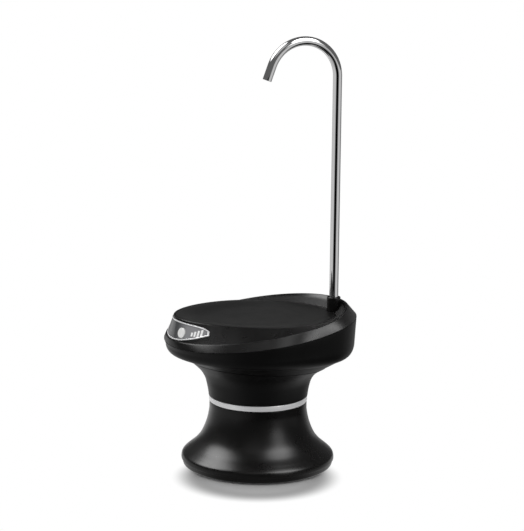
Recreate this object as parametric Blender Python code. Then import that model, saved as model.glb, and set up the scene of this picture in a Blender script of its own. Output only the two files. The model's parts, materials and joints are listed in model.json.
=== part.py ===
"""Bottled water pump on its table stand.

The head is an egg-shaped housing with a drip tray on top, a tilted rim and a chrome spout.
Its neck drops over the spigot of the stand as it drops over a bottle.  Inside the head a
small motor turns a gear pump, which lifts water from the inlet nipple to the spout socket.
The origin is the centre of the stand's underside.  The panel faces -Y and the spout is at +Y.
All lengths are in metres.
"""
import math

import bmesh
import bpy
import numpy as np
from mathutils import Matrix, Vector

# Fits that every piece shares
SEAT_GAP = 0.0003
RUNNING_GAP = 0.0001
CUT_OVERRUN = 0.002
WELD_DISTANCE = 0.000001

# Facets of the round pieces
EGG_SIDES = 42
TURNED_SIDES = 32
SMALL_SIDES = 10
HOSE_SIDES = 8
SCREW_SIDES = 8
CUTTER_TWIST = math.radians(5)
SMOOTH_ANGLE = math.radians(35)

# Stand shell, a turned moulding with the spigot that takes the place of a bottle's neck
STAND_HEIGHT = 0.0587
STAND_WAIST_RADIUS = 0.0420
STAND_FOOT_RADIUS = 0.0672
STAND_FOOT_BAND_HEIGHT = 0.0100
STAND_UNDER_RADIUS = 0.0632
STAND_WALL = 0.0024
STAND_FLARE_SHARES = ((0.00, 0.000), (0.17, 0.016), (0.40, 0.125), (0.63, 0.330), (0.78, 0.555),
                      (0.90, 0.815), (1.00, 0.985))
SPIGOT_RADIUS = 0.0275
SPIGOT_WALL = 0.0022
SPIGOT_HEIGHT = 0.0340

# Foot pad, base plate and ballast that close the stand from below
FOOT_PAD_RADIUS = 0.0590
FOOT_PAD_THICKNESS = 0.0020
BASE_PLATE_THICKNESS = 0.0022
BASE_PLATE_RADIUS = 0.0605
BALLAST_RADIUS = 0.0440
BALLAST_BORE_RADIUS = 0.0140
BALLAST_THICKNESS = 0.0100
BASE_SCREW_COUNT = 3
BASE_SCREW_CIRCLE = 0.0515
BASE_SCREW_START = math.radians(-90)
HOSE_WAY_WIDTH = 0.0120
HOSE_WAY_HEIGHT = 0.0090

# Screws of the whole product
SCREW_RADIUS = 0.0013
SCREW_HEAD_RADIUS = 0.0026
SCREW_HEAD_HEIGHT = 0.0016
SCREW_LENGTH = 0.0090
BOSS_WALL = 0.0018

# Bright ring at the waist and the neck shell above it
TRIM_RING_HEIGHT = 0.0047
TRIM_RING_RADIUS = 0.0424
TRIM_RING_WALL = 0.0020
NECK_BASE_RADIUS = 0.0427
NECK_TOP_SHARE = 0.8244
NECK_HEIGHT = 0.0384
NECK_WALL = 0.0022
NECK_LIP_WALL = 0.0028
NECK_WEB_THICKNESS = 0.0024
NECK_FLARE_SHARES = ((0.00, 0.00), (0.21, 0.12), (0.40, 0.31), (0.54, 0.55), (0.69, 0.82),
                     (0.84, 0.95), (1.00, 1.00))
NECK_SCREW_COUNT = 3
NECK_SCREW_INSET = 0.0100
NECK_SCREW_START = math.radians(-35)
NECK_SEAT_THICKNESS = 0.0015
NECK_POST_LENGTH = 0.0065

# Silicone collar that grips the bottle's neck
BOTTLE_RADIUS = SPIGOT_RADIUS
SEAL_HEIGHT = 0.0150
SEAL_GRIP_GAP = 0.0005
SEAL_LIP_DEPTH = 0.0030
SEAL_LIP_COUNT = 3

# Head outlines, each an egg: its size against the rim's, how far back its middle sits, its rise
# over the bowl's underside, and the shares for its fuller front, its climb and its power
RIM_HALF_WIDTH = 0.0720
RIM_HALF_LENGTH = 0.0865
RIM_SETBACK = 0.0027
RIM_RISE = 0.0211
RIM_SHAPE_SHARES = (0.10, 0.10, 2.0)
CREST_SIZE_SHARES = (0.9722, 0.9410)
CREST_SETBACK = -0.0016
CREST_RISE = 0.0295
CREST_SHAPE_SHARES = (-0.04, 0.139, 2.0)
LIP_SIZE_SHARES = (0.7986, 0.8613)
LIP_SETBACK = -0.0029
LIP_RISE = 0.0338
LIP_SHAPE_SHARES = (-0.05, -0.040, 1.85)
KEEL_SIZE_SHARES = (0.9097, 0.9249)
KEEL_SETBACK = 0.0022
KEEL_RISE = 0.0067
KEEL_SHAPE_SHARES = (0.08, 0.0, 2.0)
HEAD_WALL = 0.0022
WALL_TAPER = 0.0014
KEEL_RADIUS = 0.0085
RIM_LEDGE = 0.0010

# Drip tray
TRAY_FLOOR_RISE = 0.0319
TRAY_WALL = 0.0015
TRAY_LIP_WIDTH = 0.0013
TRAY_FLAT_SHARE = 0.60

# Control panel on the front of the top cover, placed by shares of the front wall
PANEL_HALF_ANGLE = math.radians(40)
PANEL_BOTTOM_SHARES = (0.03, 0.41)
PANEL_TOP_SHARES = (0.90, 0.09, 0.16)
PANEL_FRAME_WIDTH = 0.0012
PANEL_FRAME_PROUD = 0.0003
PANEL_DEPTH = 0.0009
BUTTON_ANGLE = math.radians(14.6)
BUTTON_HEIGHT_SHARE = 0.42
BUTTON_RADIUS = 0.0045
BUTTON_FLANGE = 0.0007
BUTTON_PROUD = 0.0006
BUTTON_TRAVEL = 0.0006
BUTTON_CAP_DEPTH = 0.0026
BUTTON_STEM_RADIUS = 0.0014
BUTTON_STEM_LENGTH = 0.0016

# Control board and its switch
SWITCH_SIZE = 0.0060
SWITCH_HEIGHT = 0.0031
SWITCH_PLUNGER_RADIUS = 0.0016
SWITCH_PLUNGER_HEIGHT = 0.0008
BOARD_LENGTH = 0.0330
BOARD_HEIGHT = 0.0125
BOARD_THICKNESS = 0.0014
BOARD_DROP = 0.0030

# Battery cell and its holder
CELL_RADIUS = 0.0092
CELL_END_ROOM = 0.0330
CELL_BUTTON_RADIUS = 0.0030
CELL_BUTTON_HEIGHT = 0.0010
CELL_PLACE_SHARE = 0.5625
HOLDER_FLOOR = 0.0018
HOLDER_WALL = 0.0016
HOLDER_WALL_SHARE = 0.62

# Gear pump and motor
GEAR_MODULE = 0.0010
GEAR_TEETH = 12
GEAR_WIDTH = 0.0066
GEAR_AXLE_SPREAD = 0.00015
PUMP_AXLE_X = -0.0268
PUMP_BACK = 0.0090
PUMP_BACK_WALL = 0.0016
PUMP_SIDE_WALL = 0.0034
PUMP_CORNER_RADIUS = 0.0035
PUMP_COVER_THICKNESS = 0.0020
PORT_SPREAD = 0.0052
PORT_POCKET_RADIUS = 0.0023
SHAFT_RADIUS = 0.00115
AXLE_PIN_RADIUS = 0.0015
MOTOR_RADIUS = 0.0100
MOTOR_LENGTH = 0.0290
MOTOR_HUB_RADIUS = 0.0040
MOTOR_HUB_LENGTH = 0.0012
MOTOR_SHAFT_REACH = 0.0080
STRAP_THICKNESS = 0.0010
STRAP_WIDTH = 0.0080
STRAP_FOOT = 0.0060

# Hoses and their barbs
HOSE_RADIUS = 0.0035
HOSE_BORE_RADIUS = 0.0024
BARB_RADIUS = 0.00215
BARB_ROOT_SHARE = 0.84
BARB_RIDGE_COUNT = 2
BARB_BORE_RADIUS = 0.0012
BARB_LENGTH = 0.0100
HOSE_OVERLAP = 0.0070
NIPPLE_STEM_RADIUS = 0.0040
NIPPLE_FLANGE_RADIUS = 0.0070
NIPPLE_FLANGE_THICKNESS = 0.0016
NIPPLE_DROP = 0.0130

# Spout and its socket
SPOUT_TUBE_DIAMETER = 0.0080
SPOUT_TUBE_WALL = 0.0006
SPOUT_INSET = 0.0177
SPOUT_BEND_RADIUS = 0.0318
SPOUT_BEND_ANGLE = math.radians(159.5)
SPOUT_BEND_RISE = 0.2400
SPOUT_TIP_LENGTH = 0.0132
SOCKET_WALL = 0.0017
SOCKET_TOP_RISE = 0.0438
SOCKET_BASE_RISE = 0.0143
SOCKET_FLANGE_RADIUS = 0.0084
SOCKET_FLANGE_THICKNESS = 0.0020
ORING_SECTION_RADIUS = 0.00045
ORING_BELOW_TOP = 0.0080

# Charging port in the back wall of the bowl
PORT_WIDTH = 0.0090
PORT_HEIGHT = 0.0032
PORT_LENGTH = 0.0070
PORT_RISE = 0.0193
PORT_WALL = 0.0004
PORT_BOARD_WIDTH = 0.0150
PORT_BOARD_THICKNESS = 0.0012
PORT_SHELF_THICKNESS = 0.0016

# Leads
LEAD_RADIUS = 0.0009

# Head screws, by shares of the rim's half width and half length, and the posts they join
HEAD_SCREW_RISE = 0.0107
HEAD_POST_RISE = 0.0129
HEAD_SCREW_SHARES = ((0.694, 0.350), (-0.694, 0.350), (0.625, -0.540), (-0.625, -0.540))

UP = Vector((0, 0, 1))
BACKWARD = Vector((0, 1, 0))
FINISHES = {}

# Pieces whose many small crossing bores the exact solver leaves open
FINELY_CUT_PIECES = ("stand_shell", "pump_body", "pump_cover", "spout_socket", "inlet_nipple")


def clear_scene():
    for item in list(bpy.data.objects):
        bpy.data.objects.remove(item, do_unlink=True)


def finish(name, colour, roughness, metallic=0.0):
    """Makes a material once and hands it out by name afterwards."""
    if name not in FINISHES:
        material = bpy.data.materials.new(name)
        material.use_nodes = True
        shader = material.node_tree.nodes["Principled BSDF"]
        shader.inputs["Base Color"].default_value = (*colour, 1)
        shader.inputs["Roughness"].default_value = roughness
        shader.inputs["Metallic"].default_value = metallic
        FINISHES[name] = material
    return FINISHES[name]


def gloss_black():
    return finish("gloss_black", (0.012, 0.011, 0.011), 0.12)


def matte_black():
    return finish("matte_black", (0.022, 0.021, 0.021), 0.42)


def inner_black():
    return finish("inner_black", (0.035, 0.035, 0.036), 0.6)


def silver():
    return finish("silver", (0.72, 0.72, 0.73), 0.22, 1)


def chrome():
    return finish("chrome", (0.80, 0.80, 0.80), 0.08, 1)


def steel():
    return finish("steel", (0.55, 0.56, 0.57), 0.35, 1)


def white_plastic():
    return finish("white_plastic", (0.85, 0.85, 0.84), 0.35)


def smoked_lens():
    return finish("smoked_lens", (0.06, 0.06, 0.065), 0.08)


def silicone():
    return finish("silicone", (0.78, 0.80, 0.80), 0.5)


def black_rubber():
    return finish("black_rubber", (0.02, 0.02, 0.02), 0.8)


def gear_white():
    return finish("gear_white", (0.86, 0.84, 0.78), 0.4)


def board_green():
    return finish("board_green", (0.02, 0.16, 0.07), 0.45)


def cell_blue():
    return finish("cell_blue", (0.05, 0.14, 0.42), 0.35)


def lead_red():
    return finish("lead_red", (0.5, 0.02, 0.02), 0.5)


def solid(name, points, faces, material):
    """Puts points and faces into one object whose faces point outwards."""
    mesh = bpy.data.meshes.new(name)
    mesh.from_pydata([tuple(point) for point in points], [], faces)
    work = bmesh.new()
    work.from_mesh(mesh)
    bmesh.ops.remove_doubles(work, verts=work.verts, dist=WELD_DISTANCE)
    bmesh.ops.recalc_face_normals(work, faces=work.faces)
    work.to_mesh(mesh)
    work.free()
    mesh.materials.append(material)
    mesh.shade_smooth()
    mesh.set_sharp_from_angle(angle=SMOOTH_ANGLE)
    thing = bpy.data.objects.new(name, mesh)
    bpy.context.scene.collection.objects.link(thing)
    return thing


def skin(name, rings, material, ring_section=False):
    """Joins loops of points into a closed surface.

    A loop of one point is a pole.  With ring_section the last loop joins the first, as on a hoop.
    """
    points, starts, faces = [], [], []
    for ring in rings:
        starts.append(len(points))
        points.extend(ring)
    pairs = [(index, index + 1) for index in range(len(rings) - 1)]
    if ring_section:
        pairs.append((len(rings) - 1, 0))
    for first, second in pairs:
        first_count, second_count = len(rings[first]), len(rings[second])
        for index in range(max(first_count, second_count)):
            after = index + 1
            corners = [starts[first] + index % first_count, starts[first] + after % first_count,
                       starts[second] + after % second_count, starts[second] + index % second_count]
            faces.append(list(dict.fromkeys(corners)))
    return solid(name, points, faces, material)


def aimed(point, direction):
    """The matrix that takes the local z axis to a direction from a point."""
    turn = UP.rotation_difference(Vector(direction).normalized())
    return Matrix.Translation(Vector(point)) @ turn.to_matrix().to_4x4()


def moved(points, matrix):
    """An array of points taken through a matrix."""
    points = np.asarray(points, dtype=float)
    turn = np.array(matrix.to_3x3())
    return points @ turn.T + np.array(matrix.translation)


def circle(radius, level, sides):
    turn = np.linspace(0, 2 * math.pi, sides, endpoint=False)
    return np.column_stack((radius * np.cos(turn), radius * np.sin(turn), np.full(sides, level)))


def turned(name, profile, material, sides=TURNED_SIDES, matrix=Matrix()):
    """A turned body.  The profile is radius and height; ends on the axis close it as poles."""
    rings = []
    for radius, level in profile:
        ring = circle(radius, level, sides) if radius > 0 else np.array([[0, 0, level]])
        rings.append(moved(ring, matrix))
    return skin(name, rings, material, ring_section=profile[0][0] > 0)


def rounded_rectangle(width, height, radius, steps=4):
    """A flat outline with round corners, centred on the origin."""
    outline = []
    for quarter in range(4):
        middle = (quarter + 0.5) * math.pi / 2
        corner = (math.copysign(width / 2 - radius, math.cos(middle)),
                  math.copysign(height / 2 - radius, math.sin(middle)))
        for step in range(steps + 1):
            turn = (quarter + step / steps) * math.pi / 2
            outline.append((corner[0] + radius * math.cos(turn), corner[1] + radius * math.sin(turn)))
    return outline


def extruded(name, outline, low, high, material, matrix=Matrix()):
    """A flat outline carried along the local z axis from low to high."""
    rings = [np.array([(x, y, level) for x, y in outline]) for level in (low, high)]
    count = len(outline)
    points = moved(np.vstack(rings), matrix)
    faces = [list(range(count)), list(range(count, 2 * count))]
    for index in range(count):
        after = (index + 1) % count
        faces.append([index, after, count + after, count + index])
    return solid(name, points, faces, material)


def disc(name, radius, low, high, material, sides=TURNED_SIDES, matrix=Matrix(), twist=0.0):
    """A plain round bar along the local z axis."""
    turns = [twist + 2 * math.pi * index / sides for index in range(sides)]
    outline = [(radius * math.cos(turn), radius * math.sin(turn)) for turn in turns]
    return extruded(name, outline, low, high, material, matrix)


def slab(name, face, back, material):
    """A plate between two grids of points that have the same rows and columns."""
    rows, columns = face.shape[:2]
    points = np.vstack((face.reshape(-1, 3), back.reshape(-1, 3)))
    step = rows * columns
    faces = []
    for row in range(rows - 1):
        for column in range(columns - 1):
            corner = row * columns + column
            quad = [corner, corner + 1, corner + columns + 1, corner + columns]
            faces.append(quad)
            faces.append([step + index for index in reversed(quad)])
    border = [column for column in range(columns)]
    border += [row * columns + columns - 1 for row in range(1, rows)]
    border += [(rows - 1) * columns + column for column in range(columns - 2, -1, -1)]
    border += [row * columns for row in range(rows - 2, 0, -1)]
    for index, here in enumerate(border):
        after = border[(index + 1) % len(border)]
        faces.append([here, after, step + after, step + here])
    return solid(name, points, faces, material)


def pipe(name, path, radius, bore, material, sides=SMALL_SIDES):
    """A hose or tube with its bore, swept along a path of points."""
    path = np.asarray(path, dtype=float)
    ahead = np.gradient(path, axis=0)
    ahead[0], ahead[-1] = path[1] - path[0], path[-1] - path[-2]
    ahead /= np.linalg.norm(ahead, axis=1)[:, None]
    side = Vector(ahead[0]).orthogonal().normalized()
    outer, inner = [], []
    for index, point in enumerate(path):
        if index:
            turn = Vector(ahead[index - 1]).rotation_difference(Vector(ahead[index]))
            side = turn @ side
        across = Vector(ahead[index]).cross(side)
        frame = np.array([side, across])
        for rings, size in ((outer, radius), (inner, bore)):
            rings.append(circle(size, 0, sides)[:, :2] @ frame + point)
    return skin(name, outer + inner[::-1], material, ring_section=True)


def lead(name, path, material):
    """A thin insulated lead, solid all through."""
    rings = []
    path = np.asarray(path, dtype=float)
    for index, point in enumerate(path):
        before, after = path[max(index - 1, 0)], path[min(index + 1, len(path) - 1)]
        ahead = Vector(after - before).normalized()
        side = (UP - ahead * UP.dot(ahead)).normalized()
        frame = np.array([side, ahead.cross(side)])
        rings.append(circle(LEAD_RADIUS, 0, SMALL_SIDES // 2)[:, :2] @ frame + point)
    return skin(name, [path[:1]] + rings + [path[-1:]], material)


def flow(points, steps):
    """A smooth Catmull-Rom curve through a few points."""
    points = np.asarray(points, dtype=float)
    padded = np.vstack((2 * points[0] - points[1], points, 2 * points[-1] - points[-2]))
    curve = []
    for index in range(1, len(padded) - 2):
        before, here, after, last = padded[index - 1:index + 3]
        for step in range(steps):
            share = step / steps
            curve.append(0.5 * (2 * here + (after - before) * share
                                + (2 * before - 5 * here + 4 * after - last) * share ** 2
                                + (3 * here - before - 3 * after + last) * share ** 3))
    curve.append(points[-1])
    return np.array(curve)


def combine(target, tool, operation):
    """Adds, cuts or trims one object with another, which stays as a hidden guide."""
    step = target.modifiers.new(tool.name, "BOOLEAN")
    step.operation = operation
    step.solver = "MANIFOLD" if target.name in FINELY_CUT_PIECES else "EXACT"
    step.object = tool
    tool.hide_render = True
    tool.display_type = "WIRE"
    return target


def cut(target, *tools):
    for tool in tools:
        combine(target, tool, "DIFFERENCE")
    return target


def join(target, *tools):
    for tool in tools:
        combine(target, tool, "UNION")
    return target


def trim(target, tool):
    return combine(target, tool, "INTERSECT")


def carrier(name, point, *pieces):
    """An empty on a joint's axis that carries the pieces which move about it."""
    axis = bpy.data.objects.new(name, None)
    axis.location = point
    bpy.context.scene.collection.objects.link(axis)
    for piece in pieces:
        piece.parent = axis
        piece.location = -Vector(point)
    return axis


def ring_places(count, radius, start):
    """Points spread evenly on a circle."""
    turns = [start + 2 * math.pi * index / count for index in range(count)]
    return [(radius * math.cos(turn), radius * math.sin(turn)) for turn in turns]


def screw(name, seat, direction):
    """A pan-head screw whose head bears on the seat and whose shank points along the direction."""
    underside = -SEAT_GAP
    top = underside - SCREW_HEAD_HEIGHT
    profile = [(0, top), (SCREW_HEAD_RADIUS, top), (SCREW_HEAD_RADIUS, underside),
               (SCREW_RADIUS, underside), (SCREW_RADIUS, SCREW_LENGTH), (0, SCREW_LENGTH)]
    return turned(name, profile, steel(), SCREW_SIDES, aimed(seat, direction))


def screw_bore(name, seat, direction):
    """The cutter for a screw's shank."""
    return disc(name, SCREW_RADIUS + SEAT_GAP, -CUT_OVERRUN, SCREW_LENGTH + SEAT_GAP, inner_black(),
                SCREW_SIDES, aimed(seat, direction), CUTTER_TWIST)


def barb(name, root, direction, material):
    """A hose barb: a stem with a few saw-tooth ridges."""
    root_radius = BARB_RADIUS * BARB_ROOT_SHARE
    profile = [(0, -CUT_OVERRUN), (root_radius, -CUT_OVERRUN)]
    pitch = BARB_LENGTH / (BARB_RIDGE_COUNT + 1)
    for ridge in range(BARB_RIDGE_COUNT):
        level = (ridge + 1) * pitch
        profile += [(root_radius, level), (BARB_RADIUS, level), (root_radius, level + pitch)]
    profile.append((0, BARB_LENGTH))
    return turned(name, profile, material, HOSE_SIDES, aimed(root, direction))


def barb_bore(name, root, direction, depth):
    """The cutter for the water way of a barb and what lies behind it."""
    return disc(name, BARB_BORE_RADIUS, -depth, BARB_LENGTH + CUT_OVERRUN, inner_black(), HOSE_SIDES,
                aimed(root, direction), CUTTER_TWIST)

# Levels and radii worked out from the sizes above
PLATE_UNDERSIDE = FOOT_PAD_THICKNESS + SEAT_GAP
PLATE_TOP = PLATE_UNDERSIDE + BASE_PLATE_THICKNESS
BALLAST_UNDERSIDE = PLATE_TOP + SEAT_GAP
RING_UNDERSIDE = STAND_HEIGHT + SEAT_GAP
NECK_UNDERSIDE = RING_UNDERSIDE + TRIM_RING_HEIGHT + SEAT_GAP
NECK_TOP = NECK_UNDERSIDE + NECK_HEIGHT
WEB_UNDERSIDE = NECK_TOP - NECK_WEB_THICKNESS
BOWL_UNDERSIDE = NECK_TOP + SEAT_GAP
BOWL_FLOOR = BOWL_UNDERSIDE + HEAD_WALL
KEEL_LEVEL = BOWL_UNDERSIDE + KEEL_RISE
RIM_LEVEL = BOWL_UNDERSIDE + RIM_RISE
CREST_LEVEL = BOWL_UNDERSIDE + CREST_RISE
LIP_LEVEL = BOWL_UNDERSIDE + LIP_RISE
TRAY_FLOOR_LEVEL = BOWL_UNDERSIDE + TRAY_FLOOR_RISE
PORT_LEVEL = BOWL_UNDERSIDE + PORT_RISE
SOCKET_BASE_LEVEL = BOWL_UNDERSIDE + SOCKET_BASE_RISE
SOCKET_TOP_LEVEL = BOWL_UNDERSIDE + SOCKET_TOP_RISE
SPOUT_BEND_LEVEL = BOWL_UNDERSIDE + SPOUT_BEND_RISE
HEAD_SCREW_SEAT = BOWL_UNDERSIDE + HEAD_SCREW_RISE
HEAD_POST_TOP = BOWL_UNDERSIDE + HEAD_POST_RISE
KEEL_HALF_WIDTH = RIM_HALF_WIDTH * KEEL_SIZE_SHARES[0]
KEEL_HALF_LENGTH = RIM_HALF_LENGTH * KEEL_SIZE_SHARES[1]
CREST_HALF_WIDTH = RIM_HALF_WIDTH * CREST_SIZE_SHARES[0]
CREST_HALF_LENGTH = RIM_HALF_LENGTH * CREST_SIZE_SHARES[1]
LIP_HALF_WIDTH = RIM_HALF_WIDTH * LIP_SIZE_SHARES[0]
LIP_HALF_LENGTH = RIM_HALF_LENGTH * LIP_SIZE_SHARES[1]
NECK_TOP_RADIUS = KEEL_HALF_WIDTH * NECK_TOP_SHARE
NECK_SCREW_CIRCLE = NECK_TOP_RADIUS - NECK_SCREW_INSET
CELL_LENGTH = 2 * (KEEL_HALF_WIDTH - CELL_END_ROOM)
CELL_SETBACK = KEEL_HALF_LENGTH * CELL_PLACE_SHARE
SPOUT_SETBACK = RIM_SETBACK + RIM_HALF_LENGTH - SPOUT_INSET
HEAD_SCREW_PLACES = tuple((RIM_HALF_WIDTH * wide, RIM_SETBACK + RIM_HALF_LENGTH * long)
                          for wide, long in HEAD_SCREW_SHARES)
NECK_LIP_RADIUS = TRIM_RING_RADIUS - TRIM_RING_WALL - SEAT_GAP


def stand_outline(inset=0.0, steps=1):
    """The stand's profile from the foot band up to the shoulder, moved in by an inset."""
    drop = STAND_HEIGHT - STAND_FOOT_BAND_HEIGHT
    spread = STAND_FOOT_RADIUS - STAND_WAIST_RADIUS
    flare = flow(STAND_FLARE_SHARES, steps)[::-1]
    return [(STAND_WAIST_RADIUS + spread * wide - inset, STAND_HEIGHT - drop * down)
            for down, wide in flare]


def build_stand_shell():
    band = STAND_FOOT_BAND_HEIGHT
    foot_edge = STAND_FOOT_RADIUS * 0.992
    outside = [(STAND_UNDER_RADIUS, PLATE_UNDERSIDE * 0.25), (foot_edge, band * 0.22),
               (STAND_FOOT_RADIUS, band * 0.58)] + stand_outline(steps=2)
    outside[-1] = (STAND_WAIST_RADIUS, STAND_HEIGHT - STAND_WALL * 0.2)
    outside.append((STAND_WAIST_RADIUS - STAND_WALL * 0.2, STAND_HEIGHT))
    spigot_top = STAND_HEIGHT + SPIGOT_HEIGHT
    spigot_bore = SPIGOT_RADIUS - SPIGOT_WALL
    spigot = [(SPIGOT_RADIUS, STAND_HEIGHT), (SPIGOT_RADIUS, spigot_top - SPIGOT_WALL / 2),
              (SPIGOT_RADIUS - SPIGOT_WALL / 2, spigot_top), (spigot_bore, spigot_top),
              (spigot_bore, STAND_HEIGHT - STAND_WALL)]
    inside = [(radius, level) for radius, level in reversed(stand_outline(STAND_WALL))
              if level < STAND_HEIGHT - STAND_WALL]
    inside.insert(0, (inside[0][0], STAND_HEIGHT - STAND_WALL))
    inside.append((BASE_PLATE_RADIUS + SEAT_GAP, band * 0.58))
    inside.append((BASE_PLATE_RADIUS + SEAT_GAP, PLATE_UNDERSIDE * 0.25))
    shell = turned("stand_shell", outside + spigot + inside, gloss_black())
    core_outline = stand_outline(STAND_WALL / 2)
    core = turned("stand_core_guide", [(0, 0), (core_outline[0][0], 0)] + core_outline
                  + [(0, STAND_HEIGHT)], inner_black())
    for index, (x, y) in enumerate(ring_places(BASE_SCREW_COUNT, BASE_SCREW_CIRCLE, BASE_SCREW_START)):
        post = disc(f"stand_post_guide_{index + 1}", SCREW_RADIUS + BOSS_WALL, BALLAST_UNDERSIDE,
                    STAND_HEIGHT / 2, inner_black(), SMALL_SIDES, Matrix.Translation((x, y, 0)))
        join(shell, trim(post, core))
        cut(shell, screw_bore(f"stand_bore_guide_{index + 1}", (x, y, PLATE_UNDERSIDE), UP))
    return shell


def hose_way():
    """The arched channel through the foot band and the ballast, for a hose from behind."""
    half = HOSE_WAY_WIDTH / 2
    shoulder = BALLAST_UNDERSIDE + HOSE_WAY_HEIGHT - half
    arch = [(half * math.cos(math.pi * step / 8), shoulder + half * math.sin(math.pi * step / 8))
            for step in range(9)]
    outline = arch + [(-half, BALLAST_UNDERSIDE), (half, BALLAST_UNDERSIDE)]
    facing_back = Matrix(((1, 0, 0, 0), (0, 0, 1, 0), (0, 1, 0, 0), (0, 0, 0, 1)))
    return extruded("hose_way_guide", outline, 0, STAND_FOOT_RADIUS + CUT_OVERRUN, inner_black(),
                    facing_back)


def build_stand():
    way = hose_way()
    cut(build_stand_shell(), way)
    places = ring_places(BASE_SCREW_COUNT, BASE_SCREW_CIRCLE, BASE_SCREW_START)
    pad = disc("foot_pad", FOOT_PAD_RADIUS, 0, FOOT_PAD_THICKNESS, black_rubber())
    plate = disc("base_plate", BASE_PLATE_RADIUS, PLATE_UNDERSIDE, PLATE_TOP, inner_black())
    for index, (x, y) in enumerate(places):
        seat = (x, y, PLATE_UNDERSIDE)
        cut(pad, disc(f"pad_hole_guide_{index + 1}", SCREW_HEAD_RADIUS + 2 * SEAT_GAP, -CUT_OVERRUN,
                      FOOT_PAD_THICKNESS + CUT_OVERRUN, inner_black(), SMALL_SIDES,
                      Matrix.Translation((x, y, 0))))
        cut(plate, screw_bore(f"plate_bore_guide_{index + 1}", seat, UP))
        screw(f"base_screw_{index + 1}", seat, UP)
    top = BALLAST_UNDERSIDE + BALLAST_THICKNESS
    edge = BALLAST_THICKNESS / 8
    ballast = turned("base_weight", [(BALLAST_BORE_RADIUS, BALLAST_UNDERSIDE),
                                     (BALLAST_RADIUS, BALLAST_UNDERSIDE),
                                     (BALLAST_RADIUS, top - edge), (BALLAST_RADIUS - edge, top),
                                     (BALLAST_BORE_RADIUS, top)], steel())
    cut(ballast, way)


def neck_outline(inset=0.0, steps=1):
    """The neck's profile from the bright ring up to the bowl, moved in by an inset."""
    spread = NECK_TOP_RADIUS - NECK_BASE_RADIUS
    return [(NECK_BASE_RADIUS + spread * wide - inset, NECK_UNDERSIDE + NECK_HEIGHT * up)
            for up, wide in flow(NECK_FLARE_SHARES, steps)]


def build_neck(bowl):
    """Bright ring, neck shell with its web, the collar that grips a bottle, and the screws."""
    low, high = RING_UNDERSIDE, RING_UNDERSIDE + TRIM_RING_HEIGHT
    edge = TRIM_RING_WALL / 4
    inner = TRIM_RING_RADIUS - TRIM_RING_WALL
    ring = turned("trim_ring", [(inner, low), (TRIM_RING_RADIUS - edge, low),
                                (TRIM_RING_RADIUS, low + edge), (TRIM_RING_RADIUS, high - edge),
                                (TRIM_RING_RADIUS - edge, high), (inner, high)], silver())
    lip_bore = NECK_LIP_RADIUS - NECK_LIP_WALL
    seat_top = NECK_UNDERSIDE + NECK_SEAT_THICKNESS
    outside = neck_outline(steps=2)
    inside = [(radius, level) for radius, level in reversed(neck_outline(NECK_WALL))
              if seat_top < level < WEB_UNDERSIDE]
    profile = [(lip_bore, low), (NECK_LIP_RADIUS, low), (NECK_LIP_RADIUS, NECK_UNDERSIDE)]
    profile += outside
    profile += [(NIPPLE_STEM_RADIUS + SEAT_GAP, NECK_TOP), (NIPPLE_STEM_RADIUS + SEAT_GAP, WEB_UNDERSIDE),
                (inside[0][0], WEB_UNDERSIDE)]
    profile += inside
    profile += [(inside[-1][0], seat_top), (lip_bore, seat_top)]
    neck = turned("neck_shell", profile, matte_black())
    screws = []
    for index, (x, y) in enumerate(ring_places(NECK_SCREW_COUNT, NECK_SCREW_CIRCLE, NECK_SCREW_START)):
        join(neck, disc(f"neck_post_guide_{index + 1}", SCREW_RADIUS + BOSS_WALL,
                        WEB_UNDERSIDE - NECK_POST_LENGTH, NECK_TOP - NECK_WEB_THICKNESS / 2,
                        inner_black(), SMALL_SIDES, Matrix.Translation((x, y, 0))))
        bore = screw_bore(f"neck_bore_guide_{index + 1}", (x, y, BOWL_FLOOR), -UP)
        cut(neck, bore)
        cut(bowl, bore)
        screws.append(screw(f"neck_screw_{index + 1}", (x, y, BOWL_FLOOR), -UP))
    collar_low = seat_top + SEAT_GAP
    collar_high = collar_low + SEAL_HEIGHT
    outer = NECK_BASE_RADIUS - NECK_WALL - SEAT_GAP
    grip = BOTTLE_RADIUS + SEAL_GRIP_GAP
    profile = [(grip + SEAL_LIP_DEPTH, collar_low), (outer, collar_low), (outer, collar_high),
               (grip + SEAL_LIP_DEPTH, collar_high)]
    pitch = SEAL_HEIGHT / SEAL_LIP_COUNT
    for lip in range(SEAL_LIP_COUNT):
        level = collar_high - (lip + 0.5) * pitch
        profile += [(grip + SEAL_LIP_DEPTH, level + pitch * 0.3), (grip, level),
                    (grip + SEAL_LIP_DEPTH, level - pitch * 0.3)]
    collar = turned("bottle_seal", profile, silicone(), TURNED_SIDES * 3 // 4)
    return [ring, neck, collar] + screws


def egg(half_width, half_length, setback, level, shape_shares, inset=0.0, lift=0.0, turn=None):
    """An egg-shaped loop of points that starts at the front and runs round by the +X side.

    Across is the sine of the turn and ahead its cosine, each to a power; the fullness share widens
    the front, and the climb share lifts the loop towards the back.
    """
    fullness, climb, exponent = shape_shares
    if turn is None:
        turn = np.linspace(0, 2 * math.pi, EGG_SIDES, endpoint=False)
    turn = np.asarray(turn, dtype=float)
    ahead = np.sign(np.cos(turn)) * np.abs(np.cos(turn)) ** (2 / exponent)
    across = np.sign(np.sin(turn)) * np.abs(np.sin(turn)) ** (2 / exponent)
    x = (half_width - inset) * across * (1 + fullness * ahead)
    y = setback - (half_length - inset) * ahead
    return np.stack((x, y, level + climb * y + lift), axis=-1)


def rim_edge(inset=0.0, lift=0.0, turn=None):
    return egg(RIM_HALF_WIDTH, RIM_HALF_LENGTH, RIM_SETBACK, RIM_LEVEL, RIM_SHAPE_SHARES,
               inset, lift, turn)


def crest(inset=0.0, lift=0.0, turn=None):
    return egg(CREST_HALF_WIDTH, CREST_HALF_LENGTH, CREST_SETBACK, CREST_LEVEL, CREST_SHAPE_SHARES,
               inset, lift, turn)


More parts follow.
